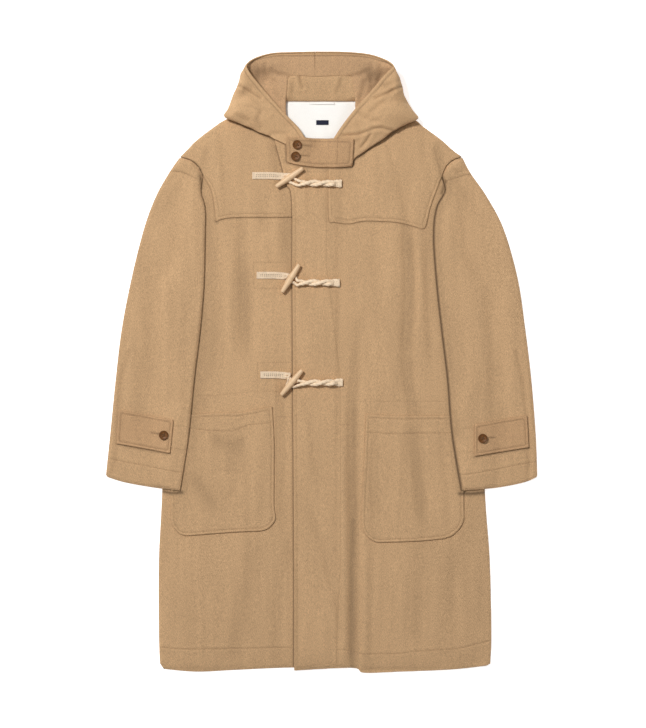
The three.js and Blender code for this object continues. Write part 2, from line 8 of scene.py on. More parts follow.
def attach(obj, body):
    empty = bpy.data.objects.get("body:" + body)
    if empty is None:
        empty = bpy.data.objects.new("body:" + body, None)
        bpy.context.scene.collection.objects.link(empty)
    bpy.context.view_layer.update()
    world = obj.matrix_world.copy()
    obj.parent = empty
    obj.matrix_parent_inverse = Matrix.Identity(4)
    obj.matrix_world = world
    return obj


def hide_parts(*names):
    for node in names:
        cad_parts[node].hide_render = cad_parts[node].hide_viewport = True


# A hooded duffle coat laid flat on its back, buttoned up. Plans and tables are in millimetres in the
# frame of the CAD model: +Y runs from the hem to the hood and +Z rises from the surface. Left and
# right are the wearer's. Meshes are written in metres.

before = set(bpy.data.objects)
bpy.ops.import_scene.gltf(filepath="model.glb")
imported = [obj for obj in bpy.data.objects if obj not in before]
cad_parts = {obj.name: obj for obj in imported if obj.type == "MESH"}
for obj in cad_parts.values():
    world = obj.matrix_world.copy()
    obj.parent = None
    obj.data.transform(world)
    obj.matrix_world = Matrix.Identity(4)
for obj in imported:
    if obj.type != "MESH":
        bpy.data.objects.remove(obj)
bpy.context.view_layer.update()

MM = 0.001

# Driving sizes, the same as in the CAD model
CLOTH = 2.4
LINING = 1.0
YOKE_WALL = 1.7       # the yokes are pressed thinner than the other cloth
GAP = 0.3
LOFT = 3.0
SLEEVE_LOFT = 2.0
EASE = 45.0
BUTTON = {"radius": 8.6, "height": 3.6, "rim": 1.2, "hole": 1.1, "pitch": 2.1}
TOGGLE = {"length": 60.0, "radius": 5.8, "end": 3.7, "groove": 5.2, "groove_half": 0.8}
CORD = {"strand": 3.5, "pitch": 52.0, "spread": 2.8, "end_width": 13.5, "end_height": 3.2, "end_length": 15.0}
TAPE = {"width": 13.0, "thickness": 1.9, "stitch": 0.55}

# Sizes of the finer work
CELL = 1.5            # spacing of the height grid
STEP = 3.0            # spacing of points along the outlines
PITCH = 3.0           # spacing of the points on a panel
ROUNDING = 1.5        # how far in from its edge a panel reaches its full wall
WRAP = 3.2            # how far an outer layer folds round the edge of the one under it
STITCH = {"length": 2.7, "spacing": 3.7, "radius": 0.36}
RINGS = (0.4, 1.0, 1.7, 2.8)
# Painted shade in the hollows of the folds, where shade falls.
HOLLOW_SHADE = 0.035  # how much darker a hollow is for each millimetre of its depth
# How much darker each piece is made than the rest (below 0 lighter). On sleeve_top_left and cuff_tab_left it is
# painted light that lifts the shade of the sleeve's slope; on the others an even shift of the piece's colour.
TONES_AND_PAINTED_LIGHT = {"sleeve_top_left": -0.04, "cuff_tab_left": -0.06, "sleeve_top_right": 0.025, "pocket_right": 0.025,
         "yoke_right": 0.02, "hood_left": 0.035, "hood_right": -0.02}

# Edges of the cut pieces: y, x on the wearer's right, x on the left
SIDE = ((-556, -299, 312), (-500, -301, 314), (-364, -301, 311), (-235, -295, 302), (0, -289, 294),
        (135, -286, 290))
ARMHOLE = ((135, -286, 290), (162, -262, 264), (200, -246, 246), (280, -236, 236), (325, -224, 228),
           (345, -219, 223))
ARMHOLE_TOP = ((345, -219, 223), (362, -227, 230), (374, -241, 242), (381, -262, 260))
SHOULDER = ((381, -262, 260), (395, -248, 241), (413, -230, 221), (438, -197, 187), (450, -178, 172),
            (478, -120, 118), (493, -84, 82))
NECKLINE = ((493, -84, 82), (484, -67, 63), (462, -66, 62), (440, -55, 49), (408, -36, 30))
SLEEVE_OUTER = ((381, -262, 260), (352, -282, 275), (307, -307, 306), (247, -329, 337), (155, -352, 363),
                (61, -370, 377), (-31, -381, 388), (-131, -391, 396), (-207, -399, 399))
CUFF = ((-211, -396, 398), (-221, -363, 374), (-231, -306, 322), (-236, -261, 259))
SLEEVE_INNER = ((-236, -261, 259), (-131, -245, 242), (-31, -235, 234), (61, -224, 223), (144, -217, 214),
                (231, -215, 208), (284, -215, 213), (318, -223, 229), (345, -219, 223))

# Lines given as x, y
HEM_RIGHT = ((-292, -566), (-232, -571), (-164, -568), (-77, -564), (24, -562))
HEM_LEFT = ((-51, -569), (56, -564), (78, -573), (145, -571), (240, -567), (305, -560))
FRONT_EDGE = ((-87, 413), (-77, 376), (-65, 330), (-55, 300), (-54, 135), (-51, -364), (-51, -569))
THROAT_RIGHT = ((-20, 398), (24, 396))
THROAT_LEFT = ((0, 402), (-60, 404))
BACK_NECK = ((-66, 486), (62, 486))
BACK_HEM = ((305, -563), (-292, -563))
YOKE_RIGHT = {"front": ((-32, 398),), "lower": ((-195, 261), (-177, 267), (-142, 269), (-32, 269)),
              "outer": ((-218, 344), (-205, 322), (-199, 296), (-195, 261))}
YOKE_LEFT = {"front": ((13, 398), (13, 272), (20, 260)),
             "lower": ((20, 260), (51, 257), (82, 262), (143, 259), (186, 247)),
             "outer": ((186, 247), (193, 253), (201, 287), (211, 315), (222, 344))}
# The third number is how far a corner is rounded
POCKET_RIGHT = ((-279, -98, 3), (-193, -92, 20), (-153, -93, 15), (-91, -80, 3), (-87, -149, 20),
                (-88, -267, 12), (-83, -290, 12), (-102, -310, 14), (-157, -312, 20), (-260, -320, 14),
                (-278, -299, 14))
POCKET_LEFT = ((82, -95, 3), (143, -98, 20), (262, -97, 3), (263, -298, 16), (238, -323, 16),
               (185, -329, 20), (95, -332, 14), (73, -308, 16), (75, -244, 20), (79, -180, 20))
CUFF_TAB_RIGHT = ((-375, -87, 2), (-379, -149, 3), (-279, -167, 3), (-273, -105, 3))
CUFF_TAB_LEFT = ((282, -114, 3), (282, -172, 3), (383, -156, 2), (380, -97, 2))
THROAT_TAB = ((-65, 417, 3), (-64, 370, 4), (-35, 363, 20), (10, 360, 20), (57, 362, 4), (60, 413, 3))
BACK_LINING = ((-72, 485.7), (-72, 400), (64, 400), (64, 485.7))
LABEL = ((-10, 449, 0.5), (-10, 440, 0.5), (13, 440, 0.5), (13, 449, 0.5))
HANGER = {"y": 480.0, "width": 4.0, "thickness": 1.2}
HANGER_LINE = ((-23, 0.3), (-22, 0.4), (-12, 0.8), (0, 1.0), (12, 0.8), (22, 0.4), (24, 0.3))

# Long soft folds: x and y of one end and of the other, width, depth (below 0 is a ridge)
FOLDS_RIGHT = ((-146, 280, -141, 0, 14, 3.6), (-143, 170, -141, 50, 9, 1.4), (-120, -330, -166, -568, 20, 2.8),
               (-196, 420, -190, 270, 5, -2.4), (-104, 240, -96, -20, 16, -1.6),
               (-225, 120, -214, -330, 22, 1.9), (-76, 20, -70, -330, 10, 1.8),
               (-256, -340, -248, -560, 14, -1.9), (-60, -330, -92, -560, 16, 1.8),
               (-190, 240, -196, -20, 13, 2.0), (-167, 230, -166, 20, 9, -1.7), (-85, 350, -110, 230, 12, 1.5),
               (-82, 420, -62, 190, 11, 2.6))
FOLDS_LEFT = ((61, -20, 57, -590, 11, 4.4), (80, -80, 78, -590, 9, -3.6), (42, -140, 40, -590, 9, -2.4),
              (71, 90, 66, -60, 9, 1.9), (112, 436, 150, 310, 10, 2.4), (150, 330, 163, 200, 12, 4.2),
              (163, 220, 160, 10, 12, 5.6), (160, 10, 174, -110, 12, 4.6), (174, -110, 182, -290, 13, 3.4),
              (182, -320, 180, -520, 14, 1.8), (192, 440, 200, 300, 9, 2.6), (180, 330, 179, 40, 9, -2.2),
              (198, 250, 199, 0, 8, 2.4), (128, 250, 134, -60, 14, -1.9), (104, 40, 100, -90, 10, -1.3),
              (240, -340, 232, -565, 16, 1.8), (-28, -60, -8, -230, 8, 1.6), (-20, -270, 22, -430, 9, 1.8),
              (-8, -330, 30, -500, 8, -1.2), (150, -350, 144, -560, 16, -1.6), (-28, 250, -24, 60, 12, 1.0),
              (272, -60, 270, -330, 12, -1.3))
FOLDS_SLEEVE_RIGHT = ((-322, 240, -318, -60, 16, 0.8), (-296, 300, -286, 40, 12, -0.8),
                      (-344, 130, -350, -80, 12, -1.0), (-262, 330, -300, 250, 12, 1.4),
                      (-246, 120, -262, -20, 12, 1.0), (-330, 20, -344, -190, 14, 1.2),
                      (-286, -10, -262, -110, 14, -1.0), (-240, 270, -232, 150, 10, -1.1))
FOLDS_SLEEVE_LEFT = ((322, 230, 318, -50, 16, 0.7), (292, 310, 284, 60, 12, -0.8),
                     (346, 120, 354, -90, 12, -1.2), (262, 330, 302, 244, 12, 1.4),
                     (240, 110, 262, -40, 13, 1.1), (330, 0, 346, -190, 14, 0.9),
                     (284, -20, 258, -120, 14, -1.1), (232, 280, 226, 150, 9, -1.1))
FOLDS_POCKET_RIGHT = ((-205, -140, -146, -152, 13, 4.4), (-160, -160, -176, -205, 13, 2.0),
                      (-236, -205, -196, -272, 13, 3.4), (-124, -130, -118, -280, 14, -1.8),
                      (-190, -205, -170, -240, 12, -1.6))
FOLDS_POCKET_LEFT = ((173, -100, 183, -310, 12, 5.0), (140, -110, 146, -300, 13, -1.9),
                     (212, -120, 216, -300, 12, -1.5), (104, -150, 100, -290, 12, 1.4))
FOLDS_THROAT = ((-34, 412, -28, 366, 7, -0.6), (30, 412, 29, 366, 5, 0.5))

# Sewn lines on each panel: the line's points, then what kind of line it is
# In each kind, shade is painted shade: how much darker the cloth is painted at the line, as the shade in its
# groove, crease or buttonhole, fading over spread millimetres.
EDGE_SEAM = {"depth": 0.4, "width": 0.9, "puff": 0.35, "pucker": 0.22, "step": 0.0, "threads": True,
             "shade": 0.15, "spread": 1.0}
HEM_SEAM = {"depth": 0.45, "width": 0.9, "puff": 0.45, "pucker": 0.4, "step": 0.25, "threads": True,
            "shade": 0.15, "spread": 1.0}
FINE_SEAM = {"depth": 0.2, "width": 0.8, "puff": 0.12, "pucker": 0.12, "step": 0.0, "threads": True,
             "shade": 0.11, "spread": 1.0}
WAIST_SEAM = {**FINE_SEAM, "shade": 0.06}
TAB_SEAM = {**EDGE_SEAM, "depth": 0.55, "puff": 0.45, "shade": 0.22, "spread": 1.1}
HOLE_SEAM = {**FINE_SEAM, "depth": 0.5, "puff": 0.3, "shade": 0.45, "spread": 1.2}
CREASE = {"depth": 2.2, "width": 2.8, "puff": 0.9, "pucker": 0.1, "step": 0.0, "threads": False,
          "shade": 0.25, "spread": 2.0}
SOFT_CREASE = {"depth": 1.2, "width": 4.0, "puff": 0.4, "pucker": 0.1, "step": 0.0, "threads": False,
               "shade": 0.07, "spread": 4.0}


def shade_line(shade, spread, depth=0.0):
    """A line of painted shade, such as the dark line where another piece's edge lies on a panel; depth sinks a
    shallow groove there too.
    """
    return {**SOFT_CREASE, "depth": depth, "width": 1.6, "puff": 0.0, "pucker": 0.0, "shade": shade,
            "spread": spread}


SEAMS_FRONT_RIGHT = (
    (((-299, -526), (-241, -529), (-179, -528), (-77, -526), (-52, -526)), HEM_SEAM),
    (((-289, -66), (-236, -62), (-181, -59), (-134, -53), (-75, -53), (-56, -53)), WAIST_SEAM),
    (((-83, -99), (-61, -99)), FINE_SEAM),
    (((-84, -40), (-84, -100), (-82, -290)), FINE_SEAM),
    (((-60, 186), (-125, 186), (-125, 138), (-60, 138)), FINE_SEAM),
    (((-53, 1), (-118, 1), (-118, -53)), FINE_SEAM),
    (((-221, 340), (-209, 322), (-203, 296), (-198, 258)), FINE_SEAM),
)
SEAMS_FRONT_LEFT = (
    (((45, -562), (12, -555), (-45, -562)), FINE_SEAM),
    (((29, -530), (56, -531), (73, -538), (145, -537), (169, -533), (240, -529), (261, -526), (312, -513)),
     HEM_SEAM),
    (((32, -70), (120, -71), (232, -71), (292, -72)), WAIST_SEAM),
    (((34, -114), (77, -114)), FINE_SEAM),
    (((35, -30), (35, -365), (31, -450), (28, -512), (28, -556)), FINE_SEAM),
    (((9, 359), (9, 274), (9, 180), (20, 100), (35, -30)), FINE_SEAM),
    (((-35, 353), (12, 353)), FINE_SEAM),
    (((275, -246), (264, -295)), FINE_SEAM),
)
SEAMS_SLEEVE_RIGHT = (
    (((-355, 20), (-370, -31), (-375, -87), (-379, -174), (-385, -200)), SOFT_CREASE),
    (((-396, -176), (-348, -186), (-256, -203)), HEM_SEAM),
    (((-279, 355), (-259, 353), (-238, 344), (-222, 335)), EDGE_SEAM),
    (((-238, 372), (-242, 352)), FINE_SEAM),
    (((-273, -116), (-240, -117)), FINE_SEAM),
    (((-277, -157), (-246, -160)), FINE_SEAM),
)
SEAMS_SLEEVE_LEFT = (
    (((360, 20), (373, -31), (379, -97), (383, -181), (381, -217)), SOFT_CREASE),
    (((254, -207), (280, -204), (325, -196), (370, -187), (398, -182)), HEM_SEAM),
    (((276, 348), (267, 348), (252, 343), (240, 339), (226, 334)), EDGE_SEAM),
    (((240, 367), (249, 351), (263, 356)), FINE_SEAM),
    (((242, -123), (282, -119)), FINE_SEAM),
    (((252, -164), (282, -164)), FINE_SEAM),
)
SEAMS_POCKET_RIGHT = (
    (((-243, -121), (-205, -125), (-164, -126), (-134, -114), (-90, -110)), EDGE_SEAM),
)
SEAMS_POCKET_LEFT = ((((84, -128), (134, -131), (164, -130), (238, -129)), EDGE_SEAM),)
SEAMS_THROAT = ((((30, 410), (29, 368)), EDGE_SEAM),)

# The two halves of the hood: seam, fold and rim of each section, then heights over what lies there
HOOD_RIGHT = (
    (-44, 398, -60, 398, -26, 408, 2.2, 2.8, 2.5), (-56, 428, -88, 414, -44, 436, 2.6, 6, 4.5),
    (-64, 448, -117, 427, -60, 452, 2.6, 15, 10), (-66, 468, -150, 442, -78, 471, 2.6, 23, 16),
    (-66, 484, -179, 455, -97, 492, 2.6, 29, 21), (-64, 500, -169, 475, -112, 509, 2.6, 32, 25),
    (-63, 512, -160, 497, -124, 523, 2.6, 33, 27), (-62, 522, -151, 516, -133, 535, 2.6, 32, 28),
    (-59, 529, -146, 533, -137, 545, 2.6, 29, 28), (-52, 530, -131, 554, -128, 557, 2.6, 23, 25),
    (-42, 530, -95, 568, -94, 570, 2.6, 15, 18), (-28, 529, -54, 571, -53, 572, 2.6, 10, 13),
    (-12.05, 528, -12.05, 572, -12.05, 573, 2.6, 9, 12))
HOOD_LEFT = (
    (36, 398, 56, 372, 18, 408, 2.2, 2.8, 2.5), (48, 428, 82, 393, 34, 433, 2.6, 6, 4.5),
    (59, 448, 112, 413, 49, 453, 2.6, 15, 10), (62, 468, 146, 436, 67, 474, 2.6, 23, 16),
    (62, 484, 177, 451, 87, 496, 2.6, 29, 21), (60, 500, 164, 470, 101, 512, 2.6, 32, 25),
    (58, 512, 152, 490, 115, 528, 2.6, 33, 27), (57, 522, 147, 508, 127, 540, 2.6, 32, 28),
    (54, 529, 140, 527, 131, 545, 2.6, 29, 28), (46, 530, 126, 550, 123, 554, 2.6, 23, 25),
    (30, 530, 92, 565, 91, 567, 2.6, 15, 18), (12, 529, 47, 571, 46, 572, 2.6, 10, 13),
    (-11.95, 528, -11.95, 572, -11.95, 573, 2.6, 9, 12))
HOOD_UNDER = ((496, -122, 118), (510, -142, 136), (530, -138, 131), (548, -118, 114), (560, -70, 70),
              (564, -20, 24))
BAND_TUCK = 1.3        # how far the neck band's edges lie under the hood's
BAND_BLEND = 10.0
HOOD_LAYERS = ((496, 2), (512, 4), (534, 6))
HOOD_LAYER = 5.0
HOOD_REACH = 12.0
RIM_HEM = 7.0
# Painted shade along the stitched groove of the rim's hem.
RIM_SHADE = 0.34
# Places inside the hood painted darker, as the shade that falls deep inside it: x, y, reach, how much
INSIDE_SHADE = ((-121, 532, 20, 0.24), (97, 526, 20, 0.25), (-104, 548, 16, 0.12), (84, 546, 18, 0.14),
                (-70, 553, 26, 0.1), (50, 552, 30, 0.1), (-10, 553, 40, 0.08))
NECK_BAND = ((484.4, -72, 67, 5.9), (488, -72, 66, 7.2), (496, -71, 65, 9.5), (506, -70, 63, 12.5),
             (518, -67, 60, 15.5), (528, -65, 57, 17.0), (535, -64, 56, 17.0))

# Creases of the hood's outside, and of the part that shows inside it
HOOD_CREASES = (
    (((-163, 512), (-146, 507), (-128, 496), (-112, 487)), CREASE),
    (((-94, 421), (-78, 423), (-62, 421)), SOFT_CREASE),
    (((-155, 479), (-145, 459), (-130, 440)), FINE_SEAM),
    (((-166, 462), (-150, 452), (-136, 446)), SOFT_CREASE),
    (((-110, 462), (-118, 446), (-112, 434)), SOFT_CREASE),
    (((157, 511), (144, 507), (124, 497), (99, 487)), CREASE),
    (((148, 517), (134, 515), (117, 508)), SOFT_CREASE),
    (((40, 420), (66, 421), (82, 426), (98, 432), (112, 433), (130, 428)), CREASE),
    (((147, 481), (131, 462), (117, 444)), FINE_SEAM),
    (((90, 422), (82, 408), (72, 398)), CREASE),
    (((66, 440), (70, 424), (68, 404)), SOFT_CREASE),
    (((-172, 462), (-150, 474), (-126, 470), (-104, 456)), SOFT_CREASE),
    (((-140, 500), (-120, 478), (-98, 462)), SOFT_CREASE),
    (((170, 476), (140, 484), (112, 478), (88, 462)), SOFT_CREASE),
    (((130, 500), (108, 474), (84, 452)), SOFT_CREASE),
    (((70, 458), (90, 446), (104, 446)), SOFT_CREASE),
)
INSIDE_CREASES = (
    (((-118, 548), (-116, 534), (-119, 520)), SOFT_CREASE),
    (((-103, 552), (-104, 536), (-100, 524)), SOFT_CREASE),
    (((-92, 540), (-80, 531), (-60, 528)), SOFT_CREASE),
    (((-88, 520), (-84, 500), (-76, 486)), SOFT_CREASE),
    (((108, 550), (112, 534), (104, 520)), SOFT_CREASE),
    (((92, 548), (88, 534), (92, 522)), SOFT_CREASE),
    (((82, 538), (68, 530), (52, 528)), SOFT_CREASE),
    (((80, 518), (76, 500), (70, 484)), SOFT_CREASE),
)
BAND_CREASES = (
    (((-40, 528), (-38, 518), (-34, 508)), CREASE),
    (((38, 523), (34, 512), (29, 500)), SOFT_CREASE),
    (((-52, 520), (-54, 500)), SOFT_CREASE),
)

FASTENINGS = ((-59, 342, 34, -128, 346, 37, 331), (-57, 156, 58, -120, 162, 33, 148),
              (-55, -36, 50, -113, -22, 39, -36))
THROAT_BUTTONS = ((-45, 402), (-48, 381))
THROAT_HOLES = ((-37, 401, -20, 400), (-40, 382, -23, 382))
CUFF_BUTTONS = (("right", -291, -133), ("left", 297, -139))
CUFF_HOLES = {"right": (-314, -129, -298, -131), "left": (304, -138, 320, -138)}


def mix(a, b, t):
    return a + (b - a) * t


def ramp(t):
    t = np.clip(t, 0, 1)
    return t * t * (3 - 2 * t)


# Lines and outlines

def run(rows, side):
    column = 1 if side == "right" else 2
    return [(row[column], row[0]) for row in rows]


def spaced(line, step):
    """Points at equal distances along a line."""
    line = np.asarray(line, float)
    along = np.concatenate([[0], np.cumsum(np.linalg.norm(np.diff(line, axis=0), axis=1))])
    count = max(1, math.ceil(along[-1] / step))
    at = np.linspace(0, along[-1], count + 1)
    return np.column_stack([np.interp(at, along, column) for column in line.T])


def smooth(points, step=STEP):
    """A smooth line through the points."""
    p = np.asarray(points, float)
    ends = np.vstack([p[:1], p, p[-1:]])
    t = np.linspace(0, 1, 20, endpoint=False)[:, None]
    parts = []
    for a, b, c, d in zip(ends, ends[1:], ends[2:], ends[3:]):
        v0, v1 = (c - a) / 2, (d - b) / 2
        parts.append((2 * b - 2 * c + v0 + v1) * t**3 + (3 * c - 3 * b - 2 * v0 - v1) * t**2 + v0 * t + b)
    return spaced(np.vstack(parts + [p[-1:]]), step)


def outline(*runs):
    """One closed outline, anticlockwise, with points no further apart than STEP."""
    points = np.vstack([np.asarray(r, float) for r in runs])
    apart = np.linalg.norm(points - np.roll(points, 1, axis=0), axis=1)
    points = points[apart > 0.05]
    dense = np.vstack([spaced([a, b], STEP)[:-1] for a, b in zip(points, np.roll(points, -1, axis=0))])
    x, y = dense.T
    area = np.sum(x * np.roll(y, -1) - np.roll(x, -1) * y)
    return dense if area > 0 else dense[::-1]


def rounded(corners):
    """A closed outline with its corners rounded by the third number of each."""
    rows = np.asarray(corners, float)
    points = []
    for before, corner, after in zip(np.roll(rows, 1, axis=0), rows, np.roll(rows, -1, axis=0)):
        here = corner[:2]
        cut = []
        for other in (before[:2], after[:2]):
            away = other - here
            length = np.linalg.norm(away)
            cut.append(here + away / length * min(corner[2], 0.45 * length))
        for t in np.linspace(0, 1, 7):
            points.append(mix(mix(cut[0], here, t), mix(here, cut[1], t), t))
    return outline(points)


def inward(points):
    """Unit normals that point into an anticlockwise outline."""
    along = np.roll(points, -1, axis=0) - np.roll(points, 1, axis=0)
    along /= np.linalg.norm(along, axis=1)[:, None]
    return np.column_stack([-along[:, 1], along[:, 0]])


def inset(points, distance):
    """An outline moved in by a distance, without the points that fall back over a sharp corner."""
    ring = points + inward(points) * distance
    away, _, _ = near(points, *ring.T, distance + 3, closed=True)
    return outline(ring[away > 0.97 * distance])


def near(line, x, y, reach, closed=False):
    """Distance from a line, side of it and place along it, for points within reach."""
    line = np.asarray(line, float)
    ends = np.vstack([line, line[:1]]) if closed else line
    away = np.full(x.shape, 1e3)
    side = np.zeros(x.shape)
    place = np.zeros(x.shape)
    start = 0.0
    for a, b in zip(ends, ends[1:]):
        length = math.hypot(*(b - a))
        if length < 1e-6:
            continue
        low, high = np.minimum(a, b) - reach, np.maximum(a, b) + reach
        k = np.flatnonzero((x > low[0]) & (x < high[0]) & (y > low[1]) & (y < high[1]))
        if len(k):
            (ux, uy) = (b - a) / length
            dx, dy = x[k] - a[0], y[k] - a[1]
            t = np.clip(dx * ux + dy * uy, 0, length)
            d = np.hypot(dx - t * ux, dy - t * uy)
            closer = d < away[k]
            k, t, d = k[closer], t[closer], d[closer]
            away[k] = d
            side[k] = np.sign(ux * dy[closer] - uy * dx[closer])
            place[k] = start + t
        start += length
    return away, side, place


# Height grid

GRID_X = np.arange(-426, 426.1, CELL)
GRID_Y = np.arange(-600, 600.1, CELL)
FIELD_X, FIELD_Y = np.meshgrid(GRID_X, GRID_Y)


def sample(field, x, y):
    u = np.clip((np.asarray(x) - GRID_X[0]) / CELL, 0, len(GRID_X) - 1.001)
    v = np.clip((np.asarray(y) - GRID_Y[0]) / CELL, 0, len(GRID_Y) - 1.001)
    i, j = u.astype(int), v.astype(int)
    low = mix(field[j, i], field[j, i + 1], u - i)
    high = mix(field[j + 1, i], field[j + 1, i + 1], u - i)
    return mix(low, high, v - j)


def covered(points):
    """Cells of the grid inside an outline."""
    mask = np.zeros(FIELD_X.shape, bool)
    (ax, ay), (bx, by) = points.T, np.roll(points, -1, axis=0).T
    for row, y in zip(mask, GRID_Y):
        hit = (ay > y) != (by > y)
        if hit.any():
            cross = ax[hit] + (y - ay[hit]) * (bx[hit] - ax[hit]) / (by[hit] - ay[hit])
            cross.sort()
            for left, right in zip(cross[::2], cross[1::2]):
                row[(GRID_X > left) & (GRID_X < right)] = True
    return mask


def blurred(field, sigma):
    taps = max(1, math.ceil(2.6 * sigma / CELL))
    weights = np.exp(-0.5 * (np.arange(-taps, taps + 1) * CELL / sigma) ** 2)
    weights /= weights.sum()
    for axis in (0, 1):
        pad = [(0, 0), (0, 0)]
        pad[axis] = (taps, taps)
        padded = np.pad(field, pad, mode="edge")
        size = field.shape[axis]
        field = sum(w * np.take(padded, range(k, k + size), axis=axis) for k, w in enumerate(weights))
    return field


def spread(field, reach):
    """The highest height within reach of each cell."""
    for turn in range(round(reach / CELL)):
        p = np.pad(field, 1, mode="edge")
        sides = [p[1:-1, 1:-1], p[:-2, 1:-1], p[2:, 1:-1], p[1:-1, :-2], p[1:-1, 2:]]
        if turn % 2:
            sides += [p[:-2, :-2], p[2:, 2:], p[:-2, 2:], p[2:, :-2]]
        field = np.maximum.reduce(sides)
    return field


def within(mask, width):
    """0 at the edge of a mask and 1 from about width inside it."""
    return np.clip(2 * blurred(mask.astype(float), width / 2) - 1, 0, 1)


def uneven(seed, across, along, amount):
    """Slow, uneven waves of the cloth, with their sizes across and along the coat."""
    random = np.random.default_rng(seed)
    shape = (int(1200 / along) + 3, int(860 / across) + 3)
    coarse = random.normal(0, 1, shape)
    v = (FIELD_Y - GRID_Y[0]) / along
    u = (FIELD_X - GRID_X[0]) / across
    i, j = u.astype(int), v.astype(int)
    s, t = ramp(u - i), ramp(v - j)
    low = mix(coarse[j, i], coarse[j, i + 1], s)
    high = mix(coarse[j + 1, i], coarse[j + 1, i + 1], s)
    return blurred(mix(low, high, t) * amount, 4)


def folded(rows):
    """Sum of the long soft folds of a table."""
    total = np.zeros(FIELD_X.shape)
    for x0, y0, x1, y1, width, depth in rows:
        length = math.hypot(x1 - x0, y1 - y0)
        ux, uy = (x1 - x0) / length, (y1 - y0) / length
        along = ((FIELD_X - x0) * ux + (FIELD_Y - y0) * uy) / length
        across = (FIELD_X - x0) * uy - (FIELD_Y - y0) * ux
        across = across + 0.25 * width * np.sin(along * 4.7 + x0)
        fade = ramp((along + 0.12) / 0.3) * ramp((1.12 - along) / 0.3)
        total -= depth * fade * np.exp(-((across / width) ** 2))
    return total


ground = np.zeros(FIELD_X.shape)


def lay(points, thickness=CLOTH, loft=0.0, soft=3.0, folds=(), waves=None, edge=6.0, hover=0.0):
    """Height of the under side of a piece laid on what is there, which then becomes the ground.
    Its edges stand hover above what they lie on."""
    global ground
    mask = covered(points)
    box = within(mask, edge)
    cover = blurred(spread(ground, 1.5 * soft), soft)
    rise = folded(folds) if len(folds) else 0.0
    if waves is not None:
        rise = rise + waves
    if loft:
        rise = rise + loft * ramp(within(mask, EASE))
        shy = ramp(within(mask, 0.5 * EASE))
        rise = rise * mix(0.35, 1.0, shy)
    lowest = ground + GAP
    under = np.maximum(lowest, mix(lowest + hover, cover + GAP + rise, box))
    ground = np.where(mask, under + thickness, ground)
    return np.where(mask, under, np.maximum(lowest, 0))


# Meshes

def outward(points, faces):
    """The faces of a closed form, turned to face out."""
    points = np.asarray(points, float)
    fans = [(f[0], f[k], f[k + 1]) for f in faces for k in range(1, len(f) - 1)]
    a, b, c = (points[[fan[k] for fan in fans]] for k in range(3))
    volume = float((a * np.cross(b, c)).sum())
    return faces if volume > 0 else [tuple(f)[::-1] for f in faces]


def make_object(name, points, faces, material, slot, shade=None):
    mesh = bpy.data.meshes.new(name)
    mesh.from_pydata((np.asarray(points) * MM).tolist(), [], [list(map(int, f)) for f in faces])
    mesh.update()
    mesh.polygons.foreach_set("use_smooth", [True] * len(mesh.polygons))
    # shade is painted shade for each point, kept as the seam_shade attribute that darkens the cloth's colour.
    if shade is not None:
        mesh.attributes.new("seam_shade", "FLOAT", "POINT").data.foreach_set("value", np.asarray(shade, float))
    mesh.materials.append(material)
    piece = bpy.data.objects.new(name, mesh)
    bpy.context.scene.collection.objects.link(piece)
    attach(piece, "root")
    return piece


def thinned(points, cell):
    """The first point in each small square."""
    keys = np.floor(points / cell).astype(int)
    _, first = np.unique(keys, axis=0, return_index=True)
    return points[np.sort(first)]


def inside(points, x, y):
    hit = np.zeros(x.shape, bool)
    for (ax, ay), (bx, by) in zip(points, np.roll(points, -1, axis=0)):
        crosses = (ay > y) != (by > y)
        hit ^= crosses & (x < ax + (y - ay) * (bx - ax) / (by - ay if by != ay else 1.0))
    return hit


def triangles(edge, inner):
    """Points and triangles of a panel, and which of its points lie on its edge, by their place."""
    points = [Vector(p) for p in np.vstack([edge, inner])]
    loop = [(k, (k + 1) % len(edge)) for k in range(len(edge))]
    flat, _, faces, *_ = geometry.delaunay_2d_cdt(points, loop, [], 1, 1e-6, False)
    flat = np.array([tuple(p) for p in flat])
    faces = np.array([tuple(f) for f in faces])
    borders = {tuple(p) for p in np.round(np.array(points[:len(edge)]), 3)}
    on_edge = np.array([tuple(p) in borders for p in np.round(flat, 3)])
    doubtful = np.flatnonzero(on_edge[faces].all(axis=1))
    outside = doubtful[~inside(edge, *flat[faces[doubtful]].mean(axis=1).T)]
    faces = [tuple(map(int, f)) for f in np.delete(faces, outside, axis=0)]
    sides = {(f[k], f[k - 1]) for f in faces for k in range(3)}
    rim = {k for a, b in sides if (b, a) not in sides for k in (a, b)}
    return flat, faces, {tuple(np.round(flat[k], 3)): k for k in rim}


def wobble(place, seed):
    """Uneven puckers along a seam."""
    return (np.sin(place / 1.9 + seed) + 0.8 * np.sin(place / 3.1 + 2.3 * seed)
            + 0.6 * np.sin(place / 5.3 + 0.7 * seed)) / 2.4


def relief(seams, x, y):
    """Grooves, puffed sides and puckers that sewing makes in a panel."""
    total = np.zeros(x.shape)
    for number, (line, kind) in enumerate(seams):
        away, side, place = near(line, x, y, 30.0)
        k = np.flatnonzero(away < 30.0)
        d = away[k]
        rise = -kind["depth"] * np.exp(-((d / kind["width"]) ** 2))
        rise += kind["puff"] * np.exp(-(((d - 1.5 * kind["width"] - 2.2) / 2.8) ** 2))
        rise += kind["pucker"] * wobble(place[k], number + 1.3) * np.exp(-((d / 5.5) ** 2))
        rise += kind["step"] * (side[k] < 0) * (1 - np.exp(-((d / 1.6) ** 2))) * np.exp(-d / 16)
        total[k] += rise
    return total


def seam_shade(seams, x, y):
    """Painted shade: how much darker the cloth is painted along each line, darkest at the bottom of each groove."""
    total = np.zeros(x.shape)
    for line, kind in seams:
        away, _, _ = near(line, x, y, 3 * kind["spread"] + 2)
        total = np.maximum(total, kind["shade"] * np.exp(-((away / kind["spread"]) ** 2)))
    return total


